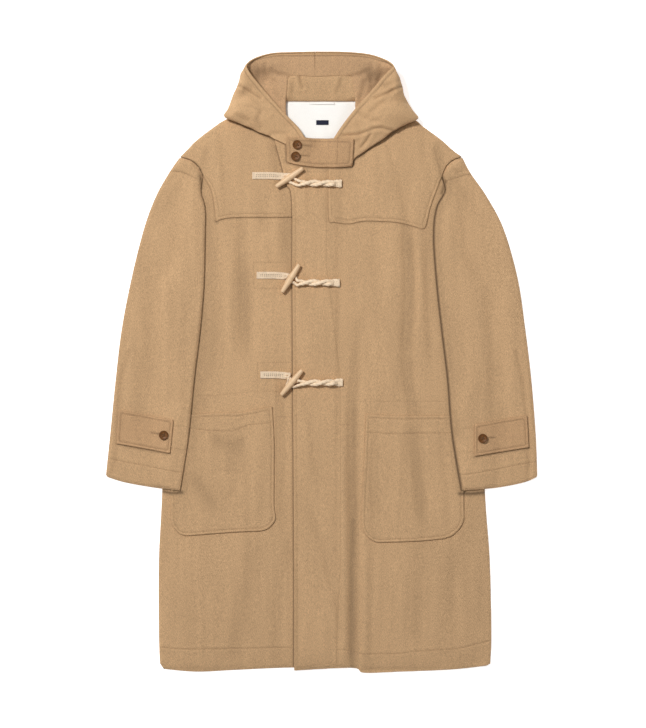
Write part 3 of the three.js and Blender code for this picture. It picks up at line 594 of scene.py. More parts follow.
def lattice(points, pitch):
    low, high = points.min(axis=0), points.max(axis=0)
    rows = np.arange(low[1], high[1], pitch * 0.866)
    columns = np.arange(low[0], high[0], pitch)
    x, y = np.meshgrid(columns, rows)
    x = x + np.where(np.arange(len(rows)) % 2, pitch / 2, 0)[:, None]
    return np.column_stack([x.ravel(), y.ravel()])


def ring_points(points, rings):
    """Rows of points just inside an outline, for its rounded edge."""
    normals = inward(points)
    found = []
    for distance in rings:
        ring = points + normals * distance
        away, _, _ = near(points, *ring.T, 6.0, closed=True)
        found.append(ring[away > 0.9 * distance])
    return np.vstack(found)


def panel(name, points, under, material, slot, seams=(), thickness=CLOTH, pitch=PITCH, shade_and_tone=None):
    """A closed wall of cloth with rounded edges and sewn lines."""
    mask = covered(points).astype(float)
    grid = lattice(points, pitch)
    away, _, _ = near(points, *grid.T, 6.0, closed=True)
    grid = grid[(sample(mask, *grid.T) > 0.5) & (away > 3.6)]
    rows = []
    for line, kind in seams:
        dense = spaced(line, 2.2)
        side = np.gradient(dense, axis=0)
        side = np.column_stack([-side[:, 1], side[:, 0]]) / np.linalg.norm(side, axis=1)[:, None]
        rows += [dense + side * offset for offset in (-1.1, 0, 1.1)]
        off, _, _ = near(line, *grid.T, 4.0)
        grid = grid[off > 2.4]
    inner = [ring_points(points, RINGS)]
    if rows:
        sewn = np.vstack(rows)
        away, _, _ = near(points, *sewn.T, 6.0, closed=True)
        inner.append(sewn[(sample(mask, *sewn.T) > 0.5) & (away > 1.0)])
    inner = thinned(np.vstack(inner + [grid]), 0.8)
    top_xy, top_faces, top_rim = triangles(points, inner)
    coarse = lattice(points, max(8.0, pitch))
    away, _, _ = near(points, *coarse.T, 6.0, closed=True)
    coarse = coarse[(sample(mask, *coarse.T) > 0.5) & (away > 5)]
    coarse = thinned(np.vstack([ring_points(points, RINGS[::2]), coarse]), 0.8)
    low_xy, low_faces, low_rim = triangles(points, coarse)

    def heights(xy, side):
        away, _, _ = near(points, *xy.T, 6.0, closed=True)
        full = np.sqrt(1 - (1 - np.clip(away / ROUNDING, 0, 1)) ** 2)
        return sample(under, *xy.T) + thickness / 2 * (1 + side * full), full

    top_z, full = heights(top_xy, 1)
    low_z, _ = heights(low_xy, -1)
    top_z = top_z + relief(seams, *top_xy.T) * full
    shared = {k: top_rim[place] for place, k in low_rim.items() if place in top_rim}
    own = [k for k in range(len(low_xy)) if k not in shared]
    lower = {**shared, **{k: len(top_xy) + count for count, k in enumerate(own)}}
    points3 = np.vstack([np.column_stack([top_xy, top_z]), np.column_stack([low_xy, low_z])[own]])
    faces = top_faces + [(lower[a], lower[c], lower[b]) for a, b, c in low_faces]
    # Painted shade at the sewn lines, creases and edges that lie on the panel, and in the hollows of its folds.
    dark = seam_shade(seams, *top_xy.T)
    if shade_and_tone is not None:
        dark = dark + sample(shade_and_tone, *top_xy.T)
    shade = np.concatenate([dark, np.zeros(len(own))])
    return make_object(name, points3, faces, material, slot, shade)


def hem_line(points, distance, start=0.0, end=1.0):
    """A sewn line at a set distance inside an outline, from one share of its length to another."""
    ring = points + inward(points) * distance
    away, _, _ = near(points, *ring.T, distance + 4, closed=True)
    ring = ring[away > 0.93 * distance]
    first, last = int(start * len(ring)), int(end * len(ring))
    return spaced(ring[first:last], 4.0)


threads = []
tape_threads = []


def sew(seams, top):
    """Stitches along the sewn lines of a panel, lying on its top."""
    for line, kind in seams:
        if not kind["threads"]:
            continue
        dense = spaced(line, STITCH["spacing"])
        for a, b in zip(dense, dense[1:]):
            threads.append((a, b, top))


def grid_mesh(rows, closed=False):
    """Faces of a grid of points, joined round its columns when closed."""
    height, width = rows.shape[:2]
    faces = []
    for i in range(height - 1):
        for j in range(width if closed else width - 1):
            k = (j + 1) % width
            faces.append((i * width + j, i * width + k, (i + 1) * width + k, (i + 1) * width + j))
    return rows.reshape(-1, 3), faces


def skin(rings):
    """A closed form through rings of points, with a cap on each end."""
    rings = np.asarray(rings)
    points, faces = grid_mesh(rings, closed=True)
    count, size = rings.shape[:2]
    centres = np.vstack([rings[0].mean(axis=0), rings[-1].mean(axis=0)])
    first, last = len(points), len(points) + 1
    for j in range(size):
        k = (j + 1) % size
        faces.append((first, k, j))
        faces.append((last, (count - 1) * size + j, (count - 1) * size + k))
    points = np.vstack([points, centres])
    return points, outward(points, faces)


def normals_of(rows):
    du = np.gradient(rows, axis=0)
    dv = np.gradient(rows, axis=1)
    n = np.cross(du, dv)
    return n / np.maximum(np.linalg.norm(n, axis=2), 1e-9)[:, :, None]


def sheet_mesh(rows, half):
    """A closed wall round a grid of points, with the given half thickness at each of them."""
    n = normals_of(rows)
    upper, faces = grid_mesh(rows + n * half[:, :, None])
    lower, _ = grid_mesh(rows - n * half[:, :, None])
    count = len(upper)
    height, width = rows.shape[:2]
    under = [tuple(k + count for k in f[::-1]) for f in faces]
    border = ([(0, j) for j in range(width)] + [(i, width - 1) for i in range(1, height)]
              + [(height - 1, j) for j in range(width - 2, -1, -1)] + [(i, 0) for i in range(height - 2, 0, -1)])
    ring = [i * width + j for i, j in border]
    walls = [(b, a, a + count, b + count) for a, b in zip(ring, ring[1:] + ring[:1])]
    points = np.vstack([upper, lower])
    return points, outward(points, faces + under + walls)


def centripetal(points, per=16):
    """A smooth line in space through points that are unevenly spaced."""
    p = np.asarray(points, float)
    ends = np.vstack([2 * p[0] - p[1], p, 2 * p[-1] - p[-2]])
    parts = []
    for a, b, c, d in zip(ends, ends[1:], ends[2:], ends[3:]):
        k0, k1, k2 = (max(1e-3, np.linalg.norm(q - r) ** 0.5) for q, r in ((b, a), (c, b), (d, c)))
        m0 = ((b - a) / k0 - (c - a) / (k0 + k1) + (c - b) / k1) * k1
        m1 = ((c - b) / k1 - (d - b) / (k1 + k2) + (d - c) / k2) * k1
        t = np.linspace(0, 1, per, endpoint=False)[:, None]
        parts.append((2 * b - 2 * c + m0 + m1) * t**3 + (3 * c - 3 * b - 2 * m0 - m1) * t**2 + m0 * t + b)
    return np.vstack(parts + [p[-1:]])


def evenly(line, count):
    along = np.concatenate([[0], np.cumsum(np.linalg.norm(np.diff(line, axis=0), axis=1))])
    at = np.linspace(0, along[-1], count) if np.isscalar(count) else np.asarray(count) * along[-1]
    return np.column_stack([np.interp(at, along, column) for column in line.T])


# Materials

def shader(name):
    material = bpy.data.materials.new(name)
    material.use_nodes = True
    tree = material.node_tree
    return material, tree, tree.nodes["Principled BSDF"]


def node(tree, kind, values=(), **settings):
    made = tree.nodes.new(kind)
    for key, value in settings.items():
        setattr(made, key, value)
    for key, value in dict(values).items():
        if isinstance(value, bpy.types.NodeSocket):
            tree.links.new(value, made.inputs[key])
        else:
            made.inputs[key].default_value = value
    return made


def linear(r, g, b):
    """A colour given by its sRGB values from 0 to 255."""
    made = []
    for value in (r, g, b):
        c = value / 255
        made.append(c / 12.92 if c <= 0.04045 else ((c + 0.055) / 1.055) ** 2.4)
    return (*made, 1.0)


def mapped(tree, scale, turn=0.0):
    """Object coordinates in millimetres divided by a pattern's size in each direction."""
    place = node(tree, "ShaderNodeTexCoord")
    values = {"Vector": place.outputs["Object"], "Rotation": (0, 0, turn),
              "Scale": tuple(1 / (MM * s) for s in scale)}
    return node(tree, "ShaderNodeMapping", values).outputs["Vector"]


def noise(tree, size, turn=0.0, detail=2.0, rough=0.5):
    size = size if isinstance(size, tuple) else (size, size, size)
    values = {"Vector": mapped(tree, size, turn), "Scale": 1.0, "Detail": detail, "Roughness": rough}
    return node(tree, "ShaderNodeTexNoise", values).outputs["Fac"]


def maths(tree, operation, a, b=0.0, c=None):
    values = {0: a, 1: b}
    if c is not None:
        values[2] = c
    return node(tree, "ShaderNodeMath", values, operation=operation).outputs[0]


def spread_out(tree, fac, low, high):
    """fac moved from about 0.3 to 0.7 to low to high."""
    values = {"Value": fac, "From Min": 0.3, "From Max": 0.7, "To Min": low, "To Max": high}
    return node(tree, "ShaderNodeMapRange", values).outputs["Result"]


def tinted(tree, shader_node, base, factors):
    """The base colour times each of the factors."""
    total = factors[0]
    for factor in factors[1:]:
        total = maths(tree, "MULTIPLY", total, factor)
    grey = node(tree, "ShaderNodeCombineColor", {0: total, 1: total, 2: total}).outputs[0]
    blend = node(tree, "ShaderNodeMix", {"Factor": 1.0, "A": base, "B": grey}, data_type="RGBA",
                 blend_type="MULTIPLY")
    blend.inputs[6].default_value = base
    tree.links.new(grey, blend.inputs[7])
    tree.links.new(blend.outputs[2], shader_node.inputs["Base Color"])
    return blend


def raised(tree, shader_node, height, distance, strength=1.0):
    bump = node(tree, "ShaderNodeBump", {"Height": height, "Distance": distance * MM, "Strength": strength})
    tree.links.new(bump.outputs["Normal"], shader_node.inputs["Normal"])


def cloth_shader(name, base, sheen, twill=2.2, weave=0.13, fuzz=0.2, bump=0.8):
    """Wool twill: slanting ribs, heathered yarn and a short nap."""
    material, tree, out = shader(name)
    out.inputs["Roughness"].default_value = 0.93
    out.inputs["Specular IOR Level"].default_value = 0.18
    out.inputs["Sheen Weight"].default_value = sheen
    out.inputs["Sheen Roughness"].default_value = 0.45
    out.inputs["Sheen Tint"].default_value = (1.0, 0.88, 0.72, 1.0)
    ribs = node(tree, "ShaderNodeTexWave",
                {"Vector": mapped(tree, (twill,) * 3, math.radians(58)), "Scale": 0.31416, "Distortion": 1.6,
                 "Detail": 2.0, "Detail Scale": 2.2}, bands_direction="X")
    yarn = noise(tree, (1.5, 2.6, 2.0), math.radians(-6), 2.0, 0.65)
    heather = noise(tree, (2.4, 6.0, 4.0), math.radians(4), 3.0, 0.65)
    streaks = noise(tree, (13.0, 150.0, 50.0), math.radians(2), 2.0, 0.5)
    blotch = noise(tree, (60.0, 140.0, 70.0), 0.0, 2.0, 0.5)
    factors = [
        spread_out(tree, maths(tree, "MULTIPLY_ADD", ribs.outputs["Fac"], 0.4, 0.3), 1 - weave, 1 + weave),
        spread_out(tree, yarn, 1 - fuzz, 1 + fuzz),
        spread_out(tree, heather, 1 - 0.22 * fuzz, 1 + 0.22 * fuzz),
        spread_out(tree, streaks, 0.965, 1.035),
        spread_out(tree, blotch, 0.97, 1.03)]
    # Painted shade: the seam_shade attribute darkens the colour at grooves, creases, fold hollows and where other
    # pieces' edges lie; it also carries each piece's tone shift, painted light on the left sleeve.
    painted_groove_shade = node(tree, "ShaderNodeAttribute", attribute_name="seam_shade").outputs["Fac"]
    factors.append(maths(tree, "SUBTRACT", 1.0, painted_groove_shade))
    tinted(tree, out, base, factors)
    height = maths(tree, "MULTIPLY_ADD", ribs.outputs["Fac"], 0.5, maths(tree, "MULTIPLY", yarn, 1.0))
    raised(tree, out, height, bump)
    return material


def plain_weave(name, base, pitch, contrast, bump, roughness=0.9, sheen=0.1):
    """A flat woven cloth or tape: two crossing sets of threads."""
    material, tree, out = shader(name)
    out.inputs["Roughness"].default_value = roughness
    out.inputs["Specular IOR Level"].default_value = 0.25
    out.inputs["Sheen Weight"].default_value = sheen
    ribs = []
    for turn in (0.0, math.pi / 2):
        values = {"Vector": mapped(tree, (pitch,) * 3, turn), "Scale": 0.31416, "Distortion": 0.5,
                  "Detail": 1.0}
        ribs.append(node(tree, "ShaderNodeTexWave", values, bands_direction="X").outputs["Fac"])
    woven = maths(tree, "MULTIPLY", ribs[0], ribs[1])
    slub = noise(tree, (pitch * 1.5, pitch * 5, pitch * 3), 0.0, 2.0)
    soil = noise(tree, 30.0)
    tinted(tree, out, base, [
        spread_out(tree, woven, 1 - contrast, 1 + contrast * 0.3),
        spread_out(tree, slub, 1 - 0.5 * contrast, 1 + 0.5 * contrast),
        spread_out(tree, soil, 0.985, 1.01)])
    raised(tree, out, maths(tree, "ADD", woven, slub), bump)
    return material


def rope_shader(name, base):
    material, tree, out = shader(name)
    out.inputs["Roughness"].default_value = 0.9
    out.inputs["Sheen Weight"].default_value = 0.15
    out.inputs["Specular IOR Level"].default_value = 0.2
    fibre = noise(tree, (0.5, 2.2, 0.8), math.radians(40), 3.0, 0.6)
    speck = noise(tree, 1.3, 0.0, 2.0)
    tinted(tree, out, base, [spread_out(tree, fibre, 0.86, 1.07), spread_out(tree, speck, 0.8, 1.1)])
    raised(tree, out, maths(tree, "ADD", fibre, speck), 0.5)
    return material


def wood_shader(name, base):
    """Pale turned wood, with its grain along the local y."""
    material, tree, out = shader(name)
    out.inputs["Specular IOR Level"].default_value = 0.4
    out.inputs["Coat Weight"].default_value = 0.15
    out.inputs["Coat Roughness"].default_value = 0.35
    grain = noise(tree, (0.8, 14.0, 0.8), 0.0, 3.0, 0.6)
    rings = noise(tree, (2.6, 40.0, 2.6), 0.0, 1.0)
    pores = noise(tree, (0.25, 2.5, 0.25), 0.0, 2.0)
    tinted(tree, out, base, [
        spread_out(tree, grain, 0.88, 1.07), spread_out(tree, rings, 0.93, 1.05),
        spread_out(tree, pores, 0.96, 1.02)])
    tree.links.new(spread_out(tree, grain, 0.45, 0.62), out.inputs["Roughness"])
    raised(tree, out, maths(tree, "ADD", grain, pores), 0.12)
    return material


def horn_shader(name, base):
    """Brown horn, with a lighter middle and soft streaks."""
    material, tree, out = shader(name)
    out.inputs["Specular IOR Level"].default_value = 0.3
    streak = noise(tree, (1.2, 6.0, 2.0), math.radians(30), 3.0, 0.6)
    cloud = noise(tree, 5.0, 0.0, 2.0)
    place = node(tree, "ShaderNodeTexCoord")
    radius = node(tree, "ShaderNodeVectorMath", {0: place.outputs["Object"]}, operation="LENGTH")
    reach = BUTTON["radius"] * MM
    middle = node(tree, "ShaderNodeMapRange",
                  {"Value": radius.outputs["Value"], "From Min": 0.35 * reach, "From Max": 0.75 * reach,
                   "To Min": 1.35, "To Max": 0.85}).outputs["Result"]
    tinted(tree, out, base, [
        spread_out(tree, streak, 0.75, 1.2), spread_out(tree, cloud, 0.85, 1.15), middle])
    tree.links.new(spread_out(tree, streak, 0.42, 0.55), out.inputs["Roughness"])
    raised(tree, out, streak, 0.05)
    return material


wool = cloth_shader("wool_twill", linear(200, 163, 122.5), 0.12, fuzz=0.22)
wool_hood = cloth_shader("wool_hood", linear(200, 163, 122.5), 0.12, weave=0.09, fuzz=0.14, bump=0.5)
# The hood's inner face: a rougher nap, and a base a little lighter than wool, painted light that lifts the shade
# inside the hood.
wool_inside = cloth_shader("wool_inside", linear(203, 164, 124.5), 0.08, weave=0.1, fuzz=0.2, bump=0.9)
wool_tab = cloth_shader("wool_tab", linear(192, 154, 115), 0.08)
cotton = plain_weave("cotton_lining", linear(255, 252, 246), 0.7, 0.05, 0.1)
tape_weave = plain_weave("twine_tape", linear(252, 226, 194), 1.9, 0.2, 0.6)
rope = rope_shader("twine_cord", linear(254, 228, 195))
wood = wood_shader("toggle_wood", linear(231, 196, 155))
horn = horn_shader("button_horn", linear(112, 70, 30))
woven = plain_weave("woven_label", linear(37, 40, 60), 0.5, 0.25, 0.1, 0.8)
thread = rope_shader("sewing_thread", linear(184, 147, 107))
thread_tape = rope_shader("tape_thread", linear(158, 134, 108))
thread_dark = rope_shader("button_thread", linear(96, 66, 36))


# Body

def flank(side):
    return [smooth(run(SIDE, side)), smooth(run(ARMHOLE, side))]


def shoulder(side):
    return [smooth(run(ARMHOLE_TOP, side)), smooth(run(SHOULDER, side))]


def neck(side):
    return smooth(run(NECKLINE, side))


def mirrored(lines):
    return [line[::-1] for line in reversed(lines)]


def back_flank(side):
    """The back reaches a little under the sleeve, so that no light comes through the seam."""
    out = np.array([-1.0 if side == "right" else 1.0, 0.0])
    body, armhole = flank(side)
    return [body, armhole + out * 9 * ramp((armhole[:, 1] - 200) / 110)[:, None]]


def back_shoulder(side):
    out = -4.5 if side == "right" else 4.5
    cap, slope = shoulder(side)
    return [cap[len(cap) // 2:] + np.array([out, -5.0]), slope]


back_outline = inset(outline(
    *back_flank("right"), *back_shoulder("right"), BACK_NECK, *mirrored(back_shoulder("left")),
    *mirrored(back_flank("left")), BACK_HEM), WRAP)
lining_outline = outline(BACK_LINING)
right_outline = outline(
    *flank("right"), *shoulder("right"), neck("right"), THROAT_RIGHT, smooth(HEM_RIGHT)[::-1])
yoke_right_outline = outline(
    smooth(YOKE_RIGHT["lower"])[::-1], smooth(YOKE_RIGHT["outer"])[::-1], *shoulder("right"), neck("right"),
    YOKE_RIGHT["front"])
left_outline = outline(
    *flank("left"), *shoulder("left"), neck("left"), THROAT_LEFT, smooth(FRONT_EDGE), smooth(HEM_LEFT))
yoke_left_outline = outline(
    smooth(YOKE_LEFT["front"]), smooth(YOKE_LEFT["lower"]), smooth(YOKE_LEFT["outer"]), *shoulder("left"),
    neck("left"))

waves = {seed: uneven(seed, 46, 150, 0.35) + uneven(seed + 50, 22, 60, 0.12) for seed in (3, 5, 8, 13)}


def body_panel(name, points, material=wool, slot="wool", seams=(), **laid):
    thickness = laid.get("thickness", CLOTH)
    pitch = laid.pop("pitch", PITCH)
    tone_and_painted_light = TONES_AND_PAINTED_LIGHT.get(name.removesuffix("_cloth"), 0.0)
    under = lay(points, **laid)
    # Painted shade in the hollows of the folds, and the piece's tone shift.
    shade_and_tone = tone_and_painted_light + HOLLOW_SHADE * np.maximum(0, -folded(laid.get("folds", ())))
    piece = panel(name, points, under, material, slot, seams, thickness, pitch, shade_and_tone)
    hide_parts(name.removesuffix("_cloth"))
    sew(seams, (under, thickness, seams))
    return piece


sheets = {}


def add_sheet(name, points, flat, rests_on, area=None, **details):
    piece = body_panel(f"{name}_cloth", points, **details)
    sheets[name] = piece
    return piece


def plan_area(points):
    x, y = points.T
    return 0.5 * float(np.sum(x * np.roll(y, -1) - np.roll(x, -1) * y)) * MM * MM


def cut_size(points):
    """Flat width and length of a piece that lies flat, from the extent of its outline."""
    size = (points.max(axis=0) - points.min(axis=0)) * MM
    return (float(size[0]), float(size[1]))


def add_flat(name, points, rests_on, **details):
    return add_sheet(name, points, cut_size(points), rests_on, plan_area(points), **details)


def front_edge_seams():
    edge = smooth(FRONT_EDGE)
    return [((edge + np.array([6.0, 0.0]))[4:], FINE_SEAM)]


def beside(line, dx):
    return smooth(line) + np.array([dx, 0.0])


# Lines of painted shade, where shade falls: along the edges of pieces that lie on a panel (placket, sleeves, yokes,
# hood, tabs, cuffs), in the troughs of folds, in the armhole pits and on the sleeves' rolled edges; those with a
# depth also sink a shallow groove.
placket_meeting = [(beside(((-84, 401), *FRONT_EDGE[1:]), -0.7), shade_line(0.5, 1.3, 0.5)),
                   (smooth(((-92, 402), (-82, 345), (-66, 300), (-60, 235), (-57, 150))), shade_line(0.13, 9.0))]
trough_shade = [(smooth(((61, -90), (58, -300), (56, -565))), shade_line(0.08, 10.0)),
          (smooth(((58, -290), (56, -420), (55, -562))), shade_line(0.21, 6.0))]
cap_meetings = {
    "right": [(smooth(((-279, 355), (-259, 353), (-238, 344), (-222, 335))), shade_line(0.2, 1.3)),
              (smooth(run(ARMHOLE_TOP, "right")) + np.array([1.0, 0.8]), shade_line(0.25, 1.6))],
    "left": [(smooth(((276, 348), (267, 348), (252, 343), (240, 339), (226, 334))), shade_line(0.2, 1.3)),
             (smooth(run(ARMHOLE_TOP, "left")) + np.array([-1.0, 0.8]), shade_line(0.25, 1.6))]}
sleeve_meetings = {
    "right": [(beside(run(SLEEVE_INNER, "right"), 0.8), shade_line(0.35, 1.7, 0.4)),
              (beside(run(SLEEVE_INNER, "right"), 3.0), shade_line(0.13, 12.0)),
              (smooth(((-306, -234), (-280, -240), (-257, -239))), shade_line(0.6, 3.2))],
    "left": [(beside(run(SLEEVE_INNER, "left"), -0.8), shade_line(0.7, 2.4, 0.6)),
             (beside(run(SLEEVE_INNER, "left"), -3.0), shade_line(0.1, 8.0)),
             (smooth(((255, -241), (285, -241), (318, -236))), shade_line(0.65, 4.0))]}
hood_meetings = {
    side: [(smooth([(row[2], row[3] - 1.6) for row in rows[:5]]), shade_line(0.5, 2.0, 0.4))]
    for side, rows in (("right", HOOD_RIGHT), ("left", HOOD_LEFT))}
tab_meeting = [(hem_line(rounded(THROAT_TAB), -1.3), shade_line(0.4, 1.7, 0.3)),
               (smooth(((86, 399), (78, 386), (66, 380))), shade_line(0.45, 3.0, 0.8))]
yoke_meetings = {
    "left": [(beside(YOKE_LEFT["front"], -0.8), shade_line(0.22, 1.2)),
             (smooth(YOKE_LEFT["lower"]) + np.array([0.0, -0.8]), shade_line(0.2, 1.3)),
             (beside(YOKE_LEFT["outer"], 0.8), shade_line(0.2, 1.2))],
    "right": [(smooth(YOKE_RIGHT["lower"]) + np.array([0.0, -0.8]), shade_line(0.25, 1.3)),
              (beside(YOKE_RIGHT["outer"], -0.8), shade_line(0.3, 1.3)),
              (smooth(((-197, 262), (-192, 260))), shade_line(0.35, 2.6))]}
pits = {"right": [(smooth(((-226, 346), (-221, 334), (-222, 322))), shade_line(0.4, 3.5, 0.8)),
                  (smooth(((-214, 392), (-220, 356), (-222, 334))), shade_line(0.12, 7.0, 0.5))],
        "left": [(smooth(((229, 336), (226, 326), (223, 314))), shade_line(0.5, 4.0, 1.0)),
                 (smooth(((210, 396), (219, 362), (227, 334))), shade_line(0.17, 7.0, 0.8))]}
cuff_meetings = {
    "right": [(smooth(((-380, -150), (-330, -160), (-279, -168.5))), shade_line(0.3, 1.6))],
    "left": [(smooth(((282, -173.5), (330, -166), (384, -157))), shade_line(0.35, 1.8))]}
sleeve_roll_shade = {
    "right": [(beside(run(SLEEVE_INNER[1:], "right"), 0.0), shade_line(0.12, 3.0))],
    "left": [(beside(run(SLEEVE_INNER, "left"), 0.5), shade_line(0.5, 2.2)),
             (beside(run(SLEEVE_INNER[1:], "left"), 2.0), shade_line(0.2, 12.0))]}


add_flat("back", back_outline, [], pitch=9.0)
add_flat("back_lining", lining_outline, ["back"], material=cotton, slot="cotton", thickness=LINING,
         folds=((-40, 486, -20, 420, 7, 0.6), (30, 486, 12, 420, 8, 0.5), (0, 470, 10, 410, 9, -0.5)))
add_flat("front_right", right_outline, ["back"], loft=LOFT, folds=FOLDS_RIGHT, waves=waves[3],
         seams=[*SEAMS_FRONT_RIGHT, *placket_meeting, *sleeve_meetings["right"], *pits["right"],
                *yoke_meetings["right"]])
add_flat("yoke_right", yoke_right_outline, ["front_right"], thickness=YOKE_WALL, seams=[
    (((-190, 270), (-175, 274), (-142, 276), (-60, 276), (-40, 276)), EDGE_SEAM),
    (((-210, 342), (-198, 322), (-192, 296), (-188, 272)), EDGE_SEAM), *hood_meetings["right"], *tab_meeting,
    *placket_meeting, *pits["right"], *cap_meetings["right"][1:]])
add_flat("front_left", left_outline, ["back", "front_right"], loft=LOFT, folds=FOLDS_LEFT, waves=waves[5],
         hover=1.6,
         seams=[*SEAMS_FRONT_LEFT, *front_edge_seams(), *sleeve_meetings["left"], *tab_meeting,
                *yoke_meetings["left"], *pits["left"], *trough_shade])
add_flat("yoke_left", yoke_left_outline, ["front_left"], thickness=YOKE_WALL, seams=[
    (((25, 267), (51, 264), (82, 269), (143, 266), (184, 255)), EDGE_SEAM),
    (((216, 344), (205, 315), (195, 287), (187, 256)), EDGE_SEAM),
    (((19, 396), (19, 272)), FINE_SEAM), *hood_meetings["left"], *tab_meeting,
    *pits["left"], *cap_meetings["left"][1:]])
for side, corners, folds, seams, front in (
        ("right", POCKET_RIGHT, FOLDS_POCKET_RIGHT, SEAMS_POCKET_RIGHT, "front_right"),
        ("left", POCKET_LEFT, FOLDS_POCKET_LEFT, SEAMS_POCKET_LEFT, "front_left")):
    shape = rounded(corners)
    add_flat(f"pocket_{side}", shape, [front], folds=folds, edge=9.0, hover=0.5,
             seams=[*seams, (hem_line(shape, 5.5), EDGE_SEAM), *sleeve_meetings[side]])


# Sleeves

def sleeve_outline(side):
    away = -GAP if side == "right" else GAP
    cap = smooth(run(ARMHOLE_TOP, side)) + np.array([away, -GAP])
    return outline(cap[:-1], smooth(run(SLEEVE_OUTER, side))[1:], smooth(run(CUFF, side)),
                   smooth(run(SLEEVE_INNER, side))[1:-1])


for side, folds, seams, corners, seed in (
        ("right", FOLDS_SLEEVE_RIGHT, SEAMS_SLEEVE_RIGHT, CUFF_TAB_RIGHT, 8),
        ("left", FOLDS_SLEEVE_LEFT, SEAMS_SLEEVE_LEFT, CUFF_TAB_LEFT, 13)):
    whole = sleeve_outline(side)
    body = ["back", f"front_{side}"]
    add_flat(f"sleeve_under_{side}", inset(whole, WRAP), body, soft=7.0, pitch=6.0)
    add_flat(f"sleeve_top_{side}", whole, [f"sleeve_under_{side}"], loft=SLEEVE_LOFT, folds=folds,
             waves=waves[seed], hover=1.6, edge=12.0,
             seams=[*seams, *sleeve_roll_shade[side], *pits[side], *cuff_meetings[side], *cap_meetings[side]])
    tab = rounded(corners)
    add_flat(f"cuff_tab_{side}", tab, [f"sleeve_top_{side}"], material=wool_tab, edge=8.0, hover=1.0,
             seams=[(hem_line(tab, 5.0), TAB_SEAM), (np.array(CUFF_HOLES[side]).reshape(2, 2), HOLE_SEAM)])


# Hood

def hood_under():
    edge = outline(smooth(run(HOOD_UNDER, "right")), smooth(run(HOOD_UNDER, "left"))[::-1])
    top, bottom = edge[:, 1].max(), edge[:, 1].min()
    rings = []
    for number, (start, inner) in enumerate(HOOD_LAYERS):
        middle = np.array([-4, (start + top) / 2])
        for angle in np.linspace(-80, 80, 9):
            tilt = math.radians(angle)
            inward_by = inner + 1.6 * (1 - math.cos(tilt))
            z = HOOD_LAYER * (number + 0.5 + 0.46 * math.sin(tilt))
            flat = np.column_stack([edge[:, 0], mix(start, top, (edge[:, 1] - bottom) / (top - bottom))])
            away = flat - middle
            share = 1 - inward_by / np.linalg.norm(away, axis=1)
            rings.append(np.column_stack([middle + away * share[:, None], np.full(len(edge), z)]))
    points, faces = skin(rings)
    piece = make_object("hood_under_layers", points, faces, wool, "wool")
    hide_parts("hood_under")
    for number, (start, inner) in enumerate(HOOD_LAYERS):
        mask = covered(edge) & (FIELD_Y > start)
        ground[mask] = np.maximum(ground[mask], HOOD_LAYER * (number + 1))
    return piece


hood_base = hood_under()


def band_rows():
    across = np.concatenate([[0, 0.006, 0.014], np.linspace(0.03, 0.97, 64), [0.986, 0.994, 1]])
    rows = []
    for y, right, left, z in evenly(centripetal(NECK_BAND), 34):
        rows.append(np.column_stack([mix(right, left, across), np.full(across.shape, y), np.full(across.shape, z)]))
    return np.array(rows)


def splat(rows, lift):
    """Heights of a grid of points, put on the height grid."""
    x, y, z = (rows[:, :, k].ravel() for k in range(3))
    i, j = np.round((x - GRID_X[0]) / CELL).astype(int), np.round((y - GRID_Y[0]) / CELL).astype(int)
    field = np.zeros(ground.shape)
    np.maximum.at(field, (j, i), z + lift)
    return field


def neck_band(rows, seam):
    """The band's edges lie just under the hood's inner edges, so that the two read as one cloth."""
    x, y = rows[:, :, 0], rows[:, :, 1]
    away, _, place = near(seam[:, :2], x.ravel(), y.ravel(), 60.0)
    along = np.concatenate([[0], np.cumsum(np.linalg.norm(np.diff(seam[:, :2], axis=0), axis=1))])
    target = np.interp(place, along, seam[:, 2]).reshape(x.shape) - BAND_TUCK
    share = np.exp(-((away.reshape(x.shape) / BAND_BLEND) ** 2)) * ramp((y - 484) / 9)
    rows[:, :, 2] = mix(rows[:, :, 2], target, share)
    rows[:, :, 2] += 0.8 * np.sin(0.11 * x + 0.06 * y) * (1 - share)
    rows[:, :, 2] += relief(BAND_CREASES, x.ravel(), y.ravel()).reshape(x.shape)
    half = np.full(x.shape, CLOTH / 2)
    half[:, [0, -1]], half[:, [1, -2]], half[:, [2, -3]] = 0.3, 0.8, 1.1
    half[0], half[1] = 0.5, 1.0
    points, faces = sheet_mesh(rows, half)
    # Painted shade along the band's creases.
    shade = seam_shade(BAND_CREASES, x.ravel(), y.ravel())
    piece = make_object("neck_band_cloth", points, faces, wool, "wool", np.tile(shade, 2))
    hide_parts("neck_band")
    return piece


band = band_rows()
ground = np.maximum(ground, splat(band, 0.0))
hood_floor = blurred(spread(ground, HOOD_REACH), 4.0)
RIM_STEPS = (0, 0.0016, 0.004, 0.008, 0.014)


def hood_section(row):
    seam_x, seam_y, fold_x, fold_y, rim_x, rim_y, low, crest, lip = row
    seam, fold, rim = np.array([seam_x, seam_y]), np.array([fold_x, fold_y]), np.array([rim_x, rim_y])

    def at(a, b, t, rise):
        x, y = mix(a, b, t)
        return (x, y, float(sample(hood_floor, x, y)) + GAP + rise)

    up = max(0.0, 1 - float(np.linalg.norm(fold - rim)) / 14)
    on_band = ramp((seam_y - 484) / 12)
    return centripetal([
        at(seam, fold, 0, mix(low, 1.0, on_band)), at(seam, fold, 0.12, mix(low, 2.0, on_band)),
        at(seam, fold, 0.6, mix(low, crest, 0.5 * up)), at(seam, fold, 1, mix(low, crest, mix(0.45, 0.9, up))),
        at(fold, rim, 0.35, crest), at(fold, rim, 1, lip)])


